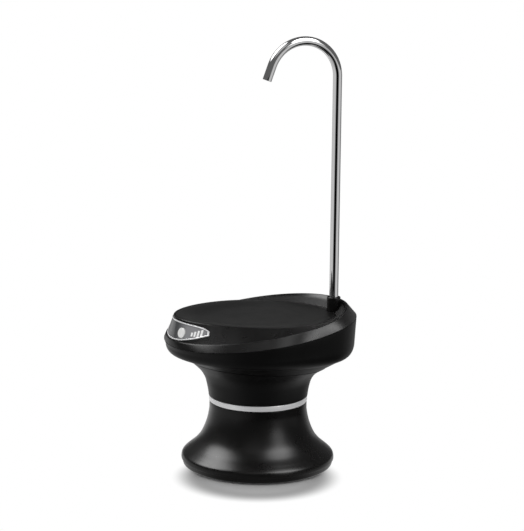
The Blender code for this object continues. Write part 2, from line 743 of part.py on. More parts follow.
def lip_edge(inset=0.0, lift=0.0, turn=None):
    return egg(LIP_HALF_WIDTH, LIP_HALF_LENGTH, LIP_SETBACK, LIP_LEVEL, LIP_SHAPE_SHARES,
               inset, lift, turn)


def keel(inset=0.0, lift=0.0, turn=None):
    return egg(KEEL_HALF_WIDTH, KEEL_HALF_LENGTH, KEEL_SETBACK, KEEL_LEVEL, KEEL_SHAPE_SHARES,
               inset, lift, turn)


def neck_circle(radius, level):
    """The round join of neck and bowl, with a point for each point of an egg."""
    turn = np.linspace(0, 2 * math.pi, EGG_SIDES, endpoint=False)
    return np.column_stack((radius * np.sin(turn), -radius * np.cos(turn), np.full(EGG_SIDES, level)))


def level_loop(loop, share, other):
    """A loop part of the way from one loop to another."""
    return loop * (1 - share) + other * share


def bowl_loops(inset=0.0, floor_lift=0.0, rim_drop=0.0):
    """The bowl's loops from the neck up to the rim: cone, rounded keel and near-upright wall."""
    low = keel(inset, floor_lift)
    rim = rim_edge(inset, -rim_drop)
    room = rim[:, 2:3] - low[:, 2:3]
    rise = KEEL_RADIUS * (1 - np.exp(-room / KEEL_RADIUS))
    foot = rim_edge(inset + WALL_TAPER)
    foot[:, 2:3] = low[:, 2:3] + rise
    loops = [neck_circle(NECK_TOP_RADIUS, BOWL_UNDERSIDE + floor_lift), low]
    for step in range(1, 5):
        turn = step * math.pi / 8
        corner = low + (foot - low) * np.array([math.sin(turn), math.sin(turn), 1 - math.cos(turn)])
        loops.append(corner)
    loops.append(level_loop(foot, 0.55, rim))
    loops.append(rim)
    return loops


def pole(loop):
    """A loop's closing point on the neck's axis."""
    return np.array([[0, 0, loop[0, 2]]])


def floor_level(loop, share, drop=0.0):
    """A loop drawn in to a share of its size, on the tray's dished floor.

    Its level goes from the loop's own level to the flat floor by a smooth step.
    """
    ramp = np.clip((share - TRAY_FLAT_SHARE) / (1 - TRAY_FLAT_SHARE), 0, 1)
    ramp = ramp * ramp * (3 - 2 * ramp)
    middle = np.array([0, LIP_SETBACK, 0])
    drawn = middle + (loop - middle) * np.array([share, share, 1])
    drawn[:, 2] = TRAY_FLOOR_LEVEL + (loop[:, 2] - TRAY_FLOOR_LEVEL) * ramp - drop
    return drawn


TRAY_SHARES = (1.0, 0.94, 0.86, 0.76, TRAY_FLAT_SHARE)
RECESS_DEPTH = TRAY_WALL + SEAT_GAP


def cover_face(drop=0.0):
    """The top cover's outer loops: bevelled band, ledge, ruled wall, lip, recess and deck."""
    ledge = crest(RIM_LEDGE)
    lip = lip_edge()
    recess = lip_edge(TRAY_LIP_WIDTH)
    loops = [rim_edge(0, SEAT_GAP), crest(), ledge, level_loop(ledge, 0.5, lip), lip, recess]
    loops += [floor_level(recess, share, RECESS_DEPTH) for share in TRAY_SHARES]
    loops = [loop - np.array([0, 0, drop]) for loop in loops]
    return loops + [np.array([[0, LIP_SETBACK, TRAY_FLOOR_LEVEL - RECESS_DEPTH - drop]])]


def crest_offset():
    """The crest moved into the wall, along the line that halves the band and the ruled wall."""
    edge, top, inner = rim_edge(), crest(), lip_edge()
    outward = top - np.array([0, LIP_SETBACK, 0])
    outward[:, 2] = 0
    outward /= np.linalg.norm(outward, axis=1)[:, None]

    def normal(first, second):
        run = np.sum((second - first) * outward, axis=1)
        rise = second[:, 2] - first[:, 2]
        size = np.hypot(run, rise)
        return np.stack((rise / size, -run / size), axis=1)

    first, second = normal(edge, top), normal(top, inner)
    total = first + second
    offset = -HEAD_WALL * total / (1 + np.sum(first * second, axis=1))[:, None]
    return top + outward * offset[:, 0:1] + np.array([0, 0, 1]) * offset[:, 1:2]


def build_shells():
    """The bowl, the top cover and the tray, which share the head's outlines."""
    outside = bowl_loops()
    inside = bowl_loops(HEAD_WALL, HEAD_WALL)
    loops = [pole(outside[0])] + outside + inside[::-1] + [pole(inside[0])]
    bowl = skin("head_bowl", loops, matte_black())

    face = cover_face()
    under = floor_level(lip_edge(TRAY_LIP_WIDTH), 1.0, RECESS_DEPTH + HEAD_WALL)
    back = [rim_edge(HEAD_WALL, SEAT_GAP), crest_offset(), under]
    back += [floor_level(lip_edge(TRAY_LIP_WIDTH), share, RECESS_DEPTH + HEAD_WALL)
             for share in TRAY_SHARES[1:]]
    end = np.array([[0, LIP_SETBACK, TRAY_FLOOR_LEVEL - RECESS_DEPTH - HEAD_WALL]])
    cover = skin("top_cover", [face[-1]] + face[-2::-1] + back + [end], gloss_black())

    outline = lip_edge(TRAY_LIP_WIDTH + SEAT_GAP)
    top = [floor_level(outline, share) for share in TRAY_SHARES]
    bottom = [floor_level(outline, share, TRAY_WALL) for share in TRAY_SHARES]
    crown = np.array([[0, LIP_SETBACK, TRAY_FLOOR_LEVEL]])
    base = crown - np.array([0, 0, TRAY_WALL])
    tray = skin("drip_tray", [crown] + top[::-1] + bottom + [base], gloss_black())
    return bowl, cover, tray


# Sizes of the inner works that follow from the head's levels
SOCKET_RADIUS = SPOUT_TUBE_DIAMETER / 2 + SEAT_GAP + SOCKET_WALL
AXLE_DISTANCE = GEAR_MODULE * GEAR_TEETH + GEAR_AXLE_SPREAD
GEAR_TIP_RADIUS = GEAR_MODULE * (GEAR_TEETH / 2 + 0.85)
GEAR_POCKET_RADIUS = GEAR_TIP_RADIUS + SEAT_GAP
PUMP_HALF_HEIGHT = GEAR_POCKET_RADIUS + PUMP_SIDE_WALL
PUMP_WIDTH = AXLE_DISTANCE + 2 * PUMP_HALF_HEIGHT
PUMP_LEVEL = BOWL_FLOOR + SEAT_GAP + PUMP_HALF_HEIGHT
PUMP_MIDDLE_X = PUMP_AXLE_X + AXLE_DISTANCE / 2
PUMP_FRONT = PUMP_BACK + PUMP_BACK_WALL + GEAR_WIDTH + 2 * SEAT_GAP
PUMP_COVER_FACE = PUMP_FRONT + SEAT_GAP + PUMP_COVER_THICKNESS
INLET_LEVEL = PUMP_LEVEL - PORT_SPREAD
OUTLET_LEVEL = PUMP_LEVEL + PORT_SPREAD
SOCKET_BORE_FLOOR = OUTLET_LEVEL + SPOUT_TUBE_DIAMETER * 0.4
BUTTON_UNDERSIDE = BUTTON_CAP_DEPTH - BUTTON_PROUD
STEM_END = BUTTON_UNDERSIDE + BUTTON_STEM_LENGTH
PLUNGER_TOP = STEM_END + BUTTON_TRAVEL + SEAT_GAP
SWITCH_TOP = PLUNGER_TOP + SWITCH_PLUNGER_HEIGHT
BOARD_FACE = SWITCH_TOP + SWITCH_HEIGHT + SEAT_GAP
BOARD_BACK = BOARD_FACE + BOARD_THICKNESS


def core_guide(name, loops):
    """A solid filled out to a set of loops, which trims what is built against a wall."""
    top = loops[-1].mean(axis=0)[None, :]
    if len(loops[-1]) == 1:
        return skin(name, [np.array([[0, 0, KEEL_LEVEL]])] + loops, inner_black())
    return skin(name, [pole(loops[0])] + loops + [top], inner_black())


def upright(x, y):
    return Matrix.Translation((x, y, 0))


def fit_bowl(bowl):
    """Posts, bores and the shelf inside the bowl."""
    core = core_guide("bowl_core_guide", bowl_loops(HEAD_WALL / 2, HEAD_WALL / 2))
    counterbore = SCREW_HEAD_RADIUS + 2 * SEAT_GAP
    screws = []
    for index, (x, y) in enumerate(HEAD_SCREW_PLACES):
        post = disc(f"bowl_post_guide_{index + 1}", counterbore + BOSS_WALL, BOWL_UNDERSIDE,
                    HEAD_POST_TOP, inner_black(), SMALL_SIDES, upright(x, y))
        join(bowl, trim(post, core))
        sink = disc(f"head_sink_guide_{index + 1}", counterbore, BOWL_UNDERSIDE - CUT_OVERRUN,
                    HEAD_SCREW_SEAT, inner_black(), SMALL_SIDES, upright(x, y))
        bore = screw_bore(f"head_bore_guide_{index + 1}", (x, y, HEAD_SCREW_SEAT), UP)
        cut(bowl, sink, bore)
        screws.append(screw(f"head_screw_{index + 1}", (x, y, HEAD_SCREW_SEAT), UP))
    rest = disc("socket_rest_guide", SOCKET_RADIUS * 0.8, BOWL_UNDERSIDE,
                SOCKET_BASE_LEVEL - SEAT_GAP, inner_black(), SMALL_SIDES, upright(0, SPOUT_SETBACK))
    join(bowl, trim(rest, core))
    cut(bowl, disc("nipple_hole_guide", NIPPLE_STEM_RADIUS + SEAT_GAP, WEB_UNDERSIDE,
                   BOWL_FLOOR + CUT_OVERRUN, inner_black(), SMALL_SIDES))
    return screws, core


def wall_place(turn, share):
    """Points of the ruled front wall at turns round the head and shares of the way up it."""
    low, high = wall_loops_at(turn)
    return low * (1 - share) + high * share


def wall_loops_at(turn):
    return crest(RIM_LEDGE, turn=turn), lip_edge(turn=turn)


def wall_normal(turn, share):
    """The wall's outward direction, from two short steps along it."""
    step = 0.001
    along = wall_place(turn + step, share) - wall_place(turn - step, share)
    low, high = wall_loops_at(turn)
    normal = np.cross(along, high - low)
    return normal / np.linalg.norm(normal, axis=-1, keepdims=True)


def panel_grid(grow, proud, rows=15):
    """Two lines of points, the panel's lower and upper edge, grown and raised off the wall."""
    step = 0.001
    pace = np.linalg.norm(wall_place(np.array([step]), 0.5) - wall_place(np.array([0.0]), 0.5)) / step
    half_turn = PANEL_HALF_ANGLE + grow / pace
    turn = np.linspace(-half_turn, half_turn, rows)
    reach = np.clip(np.abs(turn) / PANEL_HALF_ANGLE, 0, 1)
    low, high = wall_loops_at(turn)
    margin = grow / np.linalg.norm(high - low, axis=-1)
    bottom = PANEL_BOTTOM_SHARES[0] + PANEL_BOTTOM_SHARES[1] * reach ** 2 - margin
    top = PANEL_TOP_SHARES[0] - PANEL_TOP_SHARES[1] * reach ** 2
    top = top - PANEL_TOP_SHARES[2] * reach ** 12 + margin
    lines = []
    for share in (bottom, top):
        share = share[:, None]
        lines.append(wall_place(turn, share) + wall_normal(turn, share) * proud)
    return np.stack(lines, axis=1)


def panel_plate(name, grow, proud, depth, material):
    return slab(name, panel_grid(grow, proud), panel_grid(grow, -depth), material)


def button_frame():
    """The button's place on the wall: x runs along the panel, y up it, z outwards."""
    turn = np.array([BUTTON_ANGLE])
    outward = Vector(wall_normal(turn, BUTTON_HEIGHT_SHARE)[0])
    along = UP.cross(outward).normalized()
    upward = outward.cross(along)
    point = Vector(wall_place(turn, BUTTON_HEIGHT_SHARE)[0])
    frame = Matrix((along, upward, outward)).transposed().to_4x4()
    return Matrix.Translation(point) @ frame


def fit_cover(cover, tray):
    """Posts, bores, the panel's pocket and the notch for the spout socket."""
    core = core_guide("cover_core_guide", cover_face(HEAD_WALL / 2))
    for index, (x, y) in enumerate(HEAD_SCREW_PLACES):
        post = disc(f"cover_post_guide_{index + 1}", SCREW_RADIUS + BOSS_WALL, HEAD_POST_TOP + SEAT_GAP,
                    TRAY_FLOOR_LEVEL, inner_black(), SMALL_SIDES, upright(x, y))
        join(cover, trim(post, core))
        bore = disc(f"cover_bore_guide_{index + 1}", SCREW_RADIUS + SEAT_GAP, HEAD_SCREW_SEAT,
                    HEAD_SCREW_SEAT + SCREW_LENGTH + SEAT_GAP, inner_black(), SMALL_SIDES, upright(x, y))
        cut(cover, bore)
    place = button_frame()
    for side in (-1, 1):
        offset = side * (BOARD_LENGTH / 2 - BOSS_WALL - SCREW_RADIUS)
        post = disc(f"board_post_guide_{side + 2}", SCREW_RADIUS + BOSS_WALL / 2, SEAT_GAP - BOARD_FACE,
                    0, inner_black(), SMALL_SIDES,
                    place @ Matrix.Translation((offset, -BOARD_DROP, 0)))
        join(cover, trim(post, core))
    cut(cover, panel_plate("panel_pocket_guide", SEAT_GAP, CUT_OVERRUN, PANEL_DEPTH + SEAT_GAP,
                           inner_black()))
    flange_room = BUTTON_RADIUS + BUTTON_FLANGE + SEAT_GAP
    cut(cover, disc("button_room_guide", flange_room, -HEAD_WALL - CUT_OVERRUN, CUT_OVERRUN,
                    inner_black(), SMALL_SIDES * 2, place))
    cut(cover, disc("socket_hole_guide", SOCKET_RADIUS + SEAT_GAP, SOCKET_BASE_LEVEL,
                    SOCKET_TOP_LEVEL + CUT_OVERRUN, inner_black(), SMALL_SIDES * 2,
                    upright(0, SPOUT_SETBACK)))
    cut(tray, disc("tray_notch_guide", SOCKET_RADIUS + 2 * SEAT_GAP, SOCKET_BASE_LEVEL,
                   SOCKET_TOP_LEVEL, inner_black(), SMALL_SIDES * 2, upright(0, SPOUT_SETBACK)))


def build_panel():
    """The bright frame, the window, and the button that passes through the window."""
    frame = panel_plate("panel_frame", 0, PANEL_FRAME_PROUD, PANEL_DEPTH, silver())
    cut(frame, panel_plate("frame_window_guide", -PANEL_FRAME_WIDTH, CUT_OVERRUN,
                           PANEL_DEPTH + CUT_OVERRUN, inner_black()))
    lens = panel_plate("panel_lens", -PANEL_FRAME_WIDTH - SEAT_GAP, 0, PANEL_DEPTH, smoked_lens())
    place = button_frame()
    cut(lens, disc("button_hole_guide", BUTTON_RADIUS + SEAT_GAP, -CUT_OVERRUN, CUT_OVERRUN,
                   inner_black(), SMALL_SIDES * 2, place))
    collar = BUTTON_RADIUS + BUTTON_FLANGE
    edge = BUTTON_PROUD / 3
    flange_top = -PANEL_DEPTH - SEAT_GAP
    button = turned("power_button", [(0, -STEM_END), (BUTTON_STEM_RADIUS, -STEM_END),
                                     (BUTTON_STEM_RADIUS, -BUTTON_UNDERSIDE),
                                     (collar, -BUTTON_UNDERSIDE), (collar, flange_top),
                                     (BUTTON_RADIUS, flange_top),
                                     (BUTTON_RADIUS, BUTTON_PROUD - edge),
                                     (BUTTON_RADIUS - edge, BUTTON_PROUD), (0, BUTTON_PROUD)],
                    white_plastic(), SMALL_SIDES * 2, place)
    return frame, lens, button


def build_board():
    """The control board and the switch that the button presses."""
    place = button_frame()
    board = extruded("control_board", rounded_rectangle(BOARD_LENGTH, BOARD_HEIGHT, BOARD_THICKNESS),
                     -BOARD_BACK, -BOARD_FACE, board_green(),
                     place @ Matrix.Translation((0, -BOARD_DROP, 0)))
    switch = extruded("tact_switch", rounded_rectangle(SWITCH_SIZE, SWITCH_SIZE, SWITCH_SIZE / 10, 1),
                      SEAT_GAP - BOARD_FACE, -SWITCH_TOP, inner_black(), place)
    join(switch, disc("switch_plunger_guide", SWITCH_PLUNGER_RADIUS, -SWITCH_TOP - SWITCH_HEIGHT / 2,
                      -PLUNGER_TOP, inner_black(), SMALL_SIDES, place))
    return board, switch


def build_battery(core):
    """The cell lies across the bowl in an open cradle that follows the bowl's floor."""
    floor = BOWL_FLOOR + SEAT_GAP
    level = floor + HOLDER_FLOOR + SEAT_GAP + CELL_RADIUS
    half = CELL_LENGTH / 2
    across = aimed((-half, -CELL_SETBACK, level), (1, 0, 0))
    edge = CELL_BUTTON_HEIGHT / 2
    cell = turned("battery_cell", [(0, 0), (CELL_RADIUS - edge, 0), (CELL_RADIUS, edge),
                                   (CELL_RADIUS, CELL_LENGTH - CELL_BUTTON_HEIGHT - edge),
                                   (CELL_RADIUS - edge, CELL_LENGTH - CELL_BUTTON_HEIGHT),
                                   (CELL_BUTTON_RADIUS, CELL_LENGTH - CELL_BUTTON_HEIGHT),
                                   (CELL_BUTTON_RADIUS, CELL_LENGTH), (0, CELL_LENGTH)],
                  cell_blue(), SMALL_SIDES * 2, across)
    room = CELL_RADIUS + SEAT_GAP
    outline = rounded_rectangle(CELL_LENGTH + 2 * (SEAT_GAP + HOLDER_WALL),
                                2 * (room + HOLDER_WALL), HOLDER_WALL)
    height = HOLDER_FLOOR + HOLDER_WALL_SHARE * 2 * CELL_RADIUS
    holder = extruded("battery_holder", outline, floor, floor + height, inner_black(),
                      upright(0, -CELL_SETBACK))
    bay = disc("battery_bay_guide", room, -SEAT_GAP, CELL_LENGTH + SEAT_GAP, inner_black(),
               SMALL_SIDES * 2, across)
    mouth = extruded("battery_mouth_guide", [(half + SEAT_GAP, room), (-half - SEAT_GAP, room),
                                             (-half - SEAT_GAP, -room), (half + SEAT_GAP, -room)],
                     level, level + room + CUT_OVERRUN, inner_black(), upright(0, -CELL_SETBACK))
    cut(holder, bay, mouth)
    trim(holder, core_guide("bowl_room_guide", bowl_loops(HEAD_WALL + SEAT_GAP, HEAD_WALL + SEAT_GAP)))
    return cell, holder


def build_port(bowl, core):
    """The charging socket in the bowl's back wall, on its small board and shelf."""
    mouth = RIM_SETBACK + RIM_HALF_LENGTH - WALL_TAPER - SEAT_GAP
    facing = aimed((0, mouth, PORT_LEVEL), -BACKWARD)
    outer = rounded_rectangle(PORT_WIDTH, PORT_HEIGHT, PORT_HEIGHT / 2.2)
    wide = rounded_rectangle(PORT_WIDTH + 2 * SEAT_GAP, PORT_HEIGHT + 2 * SEAT_GAP, PORT_HEIGHT / 2)
    hollow = rounded_rectangle(PORT_WIDTH - 2 * PORT_WALL, PORT_HEIGHT - 2 * PORT_WALL,
                               PORT_HEIGHT / 3)
    shell = extruded("charge_port_shell", outer, 0, PORT_LENGTH, silver(), facing)
    cut(shell, extruded("port_hollow_guide", hollow, -CUT_OVERRUN, PORT_LENGTH - PORT_WALL * 2,
                        inner_black(), facing))
    cut(bowl, extruded("port_window_guide", wide, -CUT_OVERRUN, PORT_LENGTH, inner_black(), facing))
    board_top = PORT_LEVEL - PORT_HEIGHT / 2 - SEAT_GAP
    board_low = board_top - PORT_BOARD_THICKNESS
    inner_wall = mouth - HEAD_WALL - PORT_BOARD_THICKNESS
    board_depth = PORT_LENGTH - HEAD_WALL
    outline = rounded_rectangle(PORT_BOARD_WIDTH, board_depth, PORT_BOARD_THICKNESS)
    board = extruded("charge_board", outline, board_low, board_top, board_green(),
                     upright(0, inner_wall - board_depth / 2))
    shelf_top = board_low - SEAT_GAP
    shelf = extruded("port_shelf_guide",
                     rounded_rectangle(PORT_BOARD_WIDTH, board_depth + 2 * HEAD_WALL, HEAD_WALL),
                     shelf_top - PORT_SHELF_THICKNESS, shelf_top, inner_black(),
                     upright(0, inner_wall - board_depth / 2 + HEAD_WALL))
    join(bowl, trim(shelf, core))
    return shell, board


def gear_outline():
    """One gear's outline.  Its flanks are involutes of a 20 degree rack, thinned for running play."""
    pitch = GEAR_MODULE * GEAR_TEETH / 2
    base = pitch * math.cos(math.radians(20))
    root = pitch - 1.25 * GEAR_MODULE
    flank_start = math.tan(math.radians(20)) - math.radians(20)
    play_share = 0.86
    outline = []
    for tooth in range(GEAR_TEETH):
        middle = 2 * math.pi * tooth / GEAR_TEETH
        flank = []
        for step in range(3):
            radius = base + (GEAR_TIP_RADIUS - base) * step / 2
            lean = math.acos(min(1, base / radius))
            half = play_share * math.pi / (2 * GEAR_TEETH) + flank_start - (math.tan(lean) - lean)
            flank.append((radius, half))
        flank.insert(0, (root, flank[0][1] * 0.92))
        for radius, half in flank:
            outline.append((radius * math.cos(middle - half), radius * math.sin(middle - half)))
        for radius, half in reversed(flank):
            outline.append((radius * math.cos(middle + half), radius * math.sin(middle + half)))
    return outline


def pump_place(x, y, level):
    """A place in the pump whose local z axis points backward."""
    return aimed((x, y, level), BACKWARD)


def build_pump():
    """Motor, gear pump and the strap that holds them down on the bowl's floor."""
    middle = pump_place(PUMP_MIDDLE_X, PUMP_BACK, PUMP_LEVEL)
    drive_x, driven_x = PUMP_AXLE_X, PUMP_AXLE_X + AXLE_DISTANCE
    depth = PUMP_FRONT - PUMP_BACK
    outline = rounded_rectangle(PUMP_WIDTH, 2 * PUMP_HALF_HEIGHT, PUMP_CORNER_RADIUS)
    body = extruded("pump_body", outline, 0, depth, inner_black(), middle)
    cover_low = depth + SEAT_GAP
    cover = extruded("pump_cover", outline, cover_low, cover_low + PUMP_COVER_THICKNESS,
                     inner_black(), middle)
    for index, x in enumerate((drive_x, driven_x)):
        cut(body, disc(f"gear_pocket_guide_{index + 1}", GEAR_POCKET_RADIUS, PUMP_BACK_WALL,
                       depth + CUT_OVERRUN, inner_black(), SMALL_SIDES * 2,
                       pump_place(x, PUMP_BACK, PUMP_LEVEL)))
    for name, level in (("inlet", INLET_LEVEL), ("outlet", OUTLET_LEVEL)):
        place = pump_place(PUMP_MIDDLE_X, PUMP_BACK, level)
        cut(body, disc(f"{name}_pocket_guide", PORT_POCKET_RADIUS, PUMP_BACK_WALL, depth + CUT_OVERRUN,
                       inner_black(), SMALL_SIDES, place))
        root = (PUMP_MIDDLE_X, PUMP_COVER_FACE, level)
        join(cover, barb(f"{name}_barb_guide", root, BACKWARD, inner_black()))
        cut(cover, barb_bore(f"{name}_bore_guide", root, BACKWARD, PUMP_COVER_THICKNESS + CUT_OVERRUN))
    axle_end = cover_low + PUMP_COVER_THICKNESS / 2
    shaft_room = SHAFT_RADIUS + RUNNING_GAP
    pin_room = AXLE_PIN_RADIUS + RUNNING_GAP
    for name, x, room in (("shaft", drive_x, shaft_room), ("pin", driven_x, pin_room)):
        way = disc(f"{name}_way_guide", room, -CUT_OVERRUN, axle_end + SEAT_GAP, inner_black(),
                   SMALL_SIDES, pump_place(x, PUMP_BACK, PUMP_LEVEL))
        cut(body, way)
        cut(cover, way)
    screws = []
    corner = SCREW_HEAD_RADIUS + SEAT_GAP
    for index, side in enumerate((-1, 1)):
        seat = (PUMP_MIDDLE_X + side * (PUMP_WIDTH / 2 - corner), PUMP_COVER_FACE,
                PUMP_LEVEL + side * (PUMP_HALF_HEIGHT - corner))
        bore = screw_bore(f"pump_bore_guide_{index + 1}", seat, -BACKWARD)
        cut(body, bore)
        cut(cover, bore)
        screws.append(screw(f"pump_screw_{index + 1}", seat, -BACKWARD))

    gear_low = PUMP_BACK_WALL + SEAT_GAP
    gear_high = gear_low + GEAR_WIDTH
    drive_place = pump_place(drive_x, PUMP_BACK, PUMP_LEVEL)
    driven_place = pump_place(driven_x, PUMP_BACK, PUMP_LEVEL)
    drive = extruded("drive_gear", gear_outline(), gear_low, gear_high, gear_white(), drive_place)
    join(drive, disc("drive_shaft_guide", SHAFT_RADIUS, -MOTOR_SHAFT_REACH, axle_end, steel(),
                     SMALL_SIDES, drive_place))
    half_tooth = Matrix.Rotation(math.pi / GEAR_TEETH, 4, "Z")
    driven = extruded("driven_gear", gear_outline(), gear_low, gear_high, gear_white(),
                      driven_place @ half_tooth)
    cut(driven, disc("driven_bore_guide", pin_room, 0, depth, inner_black(), SMALL_SIDES, driven_place))
    pin = disc("driven_gear_pin", AXLE_PIN_RADIUS, 0, axle_end, steel(), SMALL_SIDES, driven_place)

    edge = MOTOR_HUB_LENGTH / 2
    motor_front = PUMP_BACK - SEAT_GAP
    back = motor_front - MOTOR_LENGTH
    motor_place = pump_place(drive_x, back, PUMP_LEVEL)
    motor = turned("pump_motor", [(0, -MOTOR_HUB_LENGTH), (MOTOR_HUB_RADIUS, -MOTOR_HUB_LENGTH),
                                  (MOTOR_HUB_RADIUS, 0), (MOTOR_RADIUS - edge, 0),
                                  (MOTOR_RADIUS, edge), (MOTOR_RADIUS, MOTOR_LENGTH - edge),
                                  (MOTOR_RADIUS - edge, MOTOR_LENGTH), (0, MOTOR_LENGTH)],
                   steel(), SMALL_SIDES * 2, motor_place)
    cut(motor, disc("motor_bore_guide", shaft_room, MOTOR_LENGTH - MOTOR_SHAFT_REACH - SEAT_GAP,
                    MOTOR_LENGTH + CUT_OVERRUN, inner_black(), SMALL_SIDES, motor_place))
    carrier("drive_axis", (drive_x, PUMP_BACK, PUMP_LEVEL), drive)
    carrier("driven_axis", (driven_x, PUMP_BACK, PUMP_LEVEL), driven)
    return [body, cover, pin, motor, build_strap()] + screws


def build_strap():
    """A bent strip over the motor with a foot on either side."""
    inner = MOTOR_RADIUS + SEAT_GAP
    outer = inner + STRAP_THICKNESS
    sole = PUMP_LEVEL - BOWL_FLOOR - SEAT_GAP
    instep = sole - STRAP_THICKNESS
    turns = [math.pi * step / 14 for step in range(15)]
    outline = [(outer + STRAP_FOOT, -sole), (outer + STRAP_FOOT, -instep), (outer, -instep)]
    outline += [(outer * math.cos(turn), outer * math.sin(turn)) for turn in turns]
    outline += [(-outer, -instep), (-outer - STRAP_FOOT, -instep), (-outer - STRAP_FOOT, -sole),
                (-inner, -sole)]
    outline += [(inner * math.cos(turn), inner * math.sin(turn)) for turn in reversed(turns)]
    outline.append((inner, -sole))
    middle = PUMP_BACK - MOTOR_LENGTH / 2 - STRAP_WIDTH / 4
    facing = pump_place(PUMP_AXLE_X, middle, PUMP_LEVEL) @ Matrix.Rotation(math.pi, 4, "Z")
    return extruded("motor_strap", outline, -STRAP_WIDTH / 2, STRAP_WIDTH / 2, steel(), facing)


def arc(middle, radius, start, end, level, steps):
    """Points on a level arc."""
    turns = np.linspace(start, end, steps)
    return [(middle[0] + radius * math.cos(turn), middle[1] + radius * math.sin(turn), level)
            for turn in turns]


def build_plumbing():
    """Inlet nipple, both hoses, and the socket with its seal."""
    floor = BOWL_FLOOR + SEAT_GAP
    throat = NIPPLE_STEM_RADIUS * 0.85
    crown = INLET_LEVEL + throat
    profile = [(0, floor - NIPPLE_DROP), (throat, floor - NIPPLE_DROP),
               (NIPPLE_STEM_RADIUS, floor - NIPPLE_DROP + BARB_RADIUS), (NIPPLE_STEM_RADIUS, floor),
               (NIPPLE_FLANGE_RADIUS, floor), (NIPPLE_FLANGE_RADIUS, floor + NIPPLE_FLANGE_THICKNESS),
               (throat, floor + NIPPLE_FLANGE_THICKNESS), (throat, crown), (0, crown)]
    nipple = turned("inlet_nipple", profile, white_plastic(), SMALL_SIDES + 2)
    root = (0, throat, INLET_LEVEL)
    join(nipple, barb("nipple_barb_guide", root, BACKWARD, inner_black()))
    cut(nipple, disc("nipple_bore_guide", BARB_BORE_RADIUS * 1.3, floor - NIPPLE_DROP - CUT_OVERRUN,
                     INLET_LEVEL, inner_black(), SMALL_SIDES),
        barb_bore("nipple_outlet_guide", root, BACKWARD, throat))

    hose_gap = BARB_LENGTH - HOSE_OVERLAP
    pump_end = PUMP_COVER_FACE + hose_gap
    straight = PUMP_COVER_FACE + BARB_LENGTH + HOSE_RADIUS / 2
    turn_radius = -PUMP_MIDDLE_X / 2
    path = [(0, throat + hose_gap, INLET_LEVEL)]
    path += arc((-turn_radius, straight), turn_radius, 0, math.pi, INLET_LEVEL, 10)
    path += [(PUMP_MIDDLE_X, pump_end, INLET_LEVEL)]
    inlet = pipe("inlet_hose", path, HOSE_RADIUS, HOSE_BORE_RADIUS, silicone(), HOSE_SIDES)

    socket_root = SPOUT_SETBACK - SOCKET_RADIUS
    far_end = socket_root - BARB_LENGTH
    run, offset = far_end - straight, -PUMP_MIDDLE_X
    bend = (run ** 2 + offset ** 2) / (4 * offset)
    sweep = 2 * math.atan(offset / run)
    path = [(PUMP_MIDDLE_X, pump_end, OUTLET_LEVEL)]
    path += arc((PUMP_MIDDLE_X + bend, straight), bend, math.pi, math.pi - sweep, OUTLET_LEVEL, 6)
    path += arc((-bend, far_end), bend, -sweep, 0, OUTLET_LEVEL, 6)[1:]
    path += [(0, socket_root - hose_gap, OUTLET_LEVEL)]
    outlet = pipe("outlet_hose", path, HOSE_RADIUS, HOSE_BORE_RADIUS, silicone(), HOSE_SIDES)

    flange_top = (LIP_LEVEL + LIP_SHAPE_SHARES[1] * SPOUT_SETBACK - RECESS_DEPTH - HEAD_WALL
                  - SEAT_GAP)
    flange_low = flange_top - SOCKET_FLANGE_THICKNESS
    edge = SOCKET_WALL / 4
    bore = SPOUT_TUBE_DIAMETER / 2 + SEAT_GAP
    place = upright(0, SPOUT_SETBACK)
    socket = turned("spout_socket", [(0, SOCKET_BASE_LEVEL), (SOCKET_RADIUS, SOCKET_BASE_LEVEL),
                                     (SOCKET_RADIUS, flange_low), (SOCKET_FLANGE_RADIUS, flange_low),
                                     (SOCKET_FLANGE_RADIUS, flange_top), (SOCKET_RADIUS, flange_top),
                                     (SOCKET_RADIUS, SOCKET_TOP_LEVEL - edge),
                                     (SOCKET_RADIUS - edge, SOCKET_TOP_LEVEL), (0, SOCKET_TOP_LEVEL)],
                    gloss_black(), SMALL_SIDES * 2, place)
    root = (0, socket_root, OUTLET_LEVEL)
    join(socket, barb("socket_barb_guide", root, -BACKWARD, inner_black()))
    cut(socket, disc("socket_bore_guide", bore, SOCKET_BORE_FLOOR, SOCKET_TOP_LEVEL + CUT_OVERRUN,
                     inner_black(), SMALL_SIDES * 2, place),
        disc("socket_way_guide", BARB_BORE_RADIUS * 1.3, OUTLET_LEVEL - BARB_BORE_RADIUS * 0.6,
             SOCKET_BORE_FLOOR + CUT_OVERRUN, inner_black(), SMALL_SIDES + 2, place),
        barb_bore("socket_inlet_guide", root, -BACKWARD, SOCKET_RADIUS))
    seal_level = SOCKET_TOP_LEVEL - ORING_BELOW_TOP
    groove_half = ORING_SECTION_RADIUS + SEAT_GAP
    ring_radius = SPOUT_TUBE_DIAMETER / 2 + RUNNING_GAP + ORING_SECTION_RADIUS
    groove_radius = ring_radius + ORING_SECTION_RADIUS + RUNNING_GAP
    inner = bore - ORING_SECTION_RADIUS
    cut(socket, turned("seal_groove_guide", [(inner, seal_level - groove_half),
                                             (groove_radius, seal_level - groove_half),
                                             (groove_radius, seal_level + groove_half),
                                             (inner, seal_level + groove_half)],
                       inner_black(), SMALL_SIDES * 2, place))
    section = circle(ORING_SECTION_RADIUS, 0, 6)
    oring = turned("socket_oring", [(ring_radius + x, seal_level + z) for x, z, _ in section],
                   black_rubber(), SMALL_SIDES * 2, place)
    return [nipple, inlet, outlet, socket, oring]


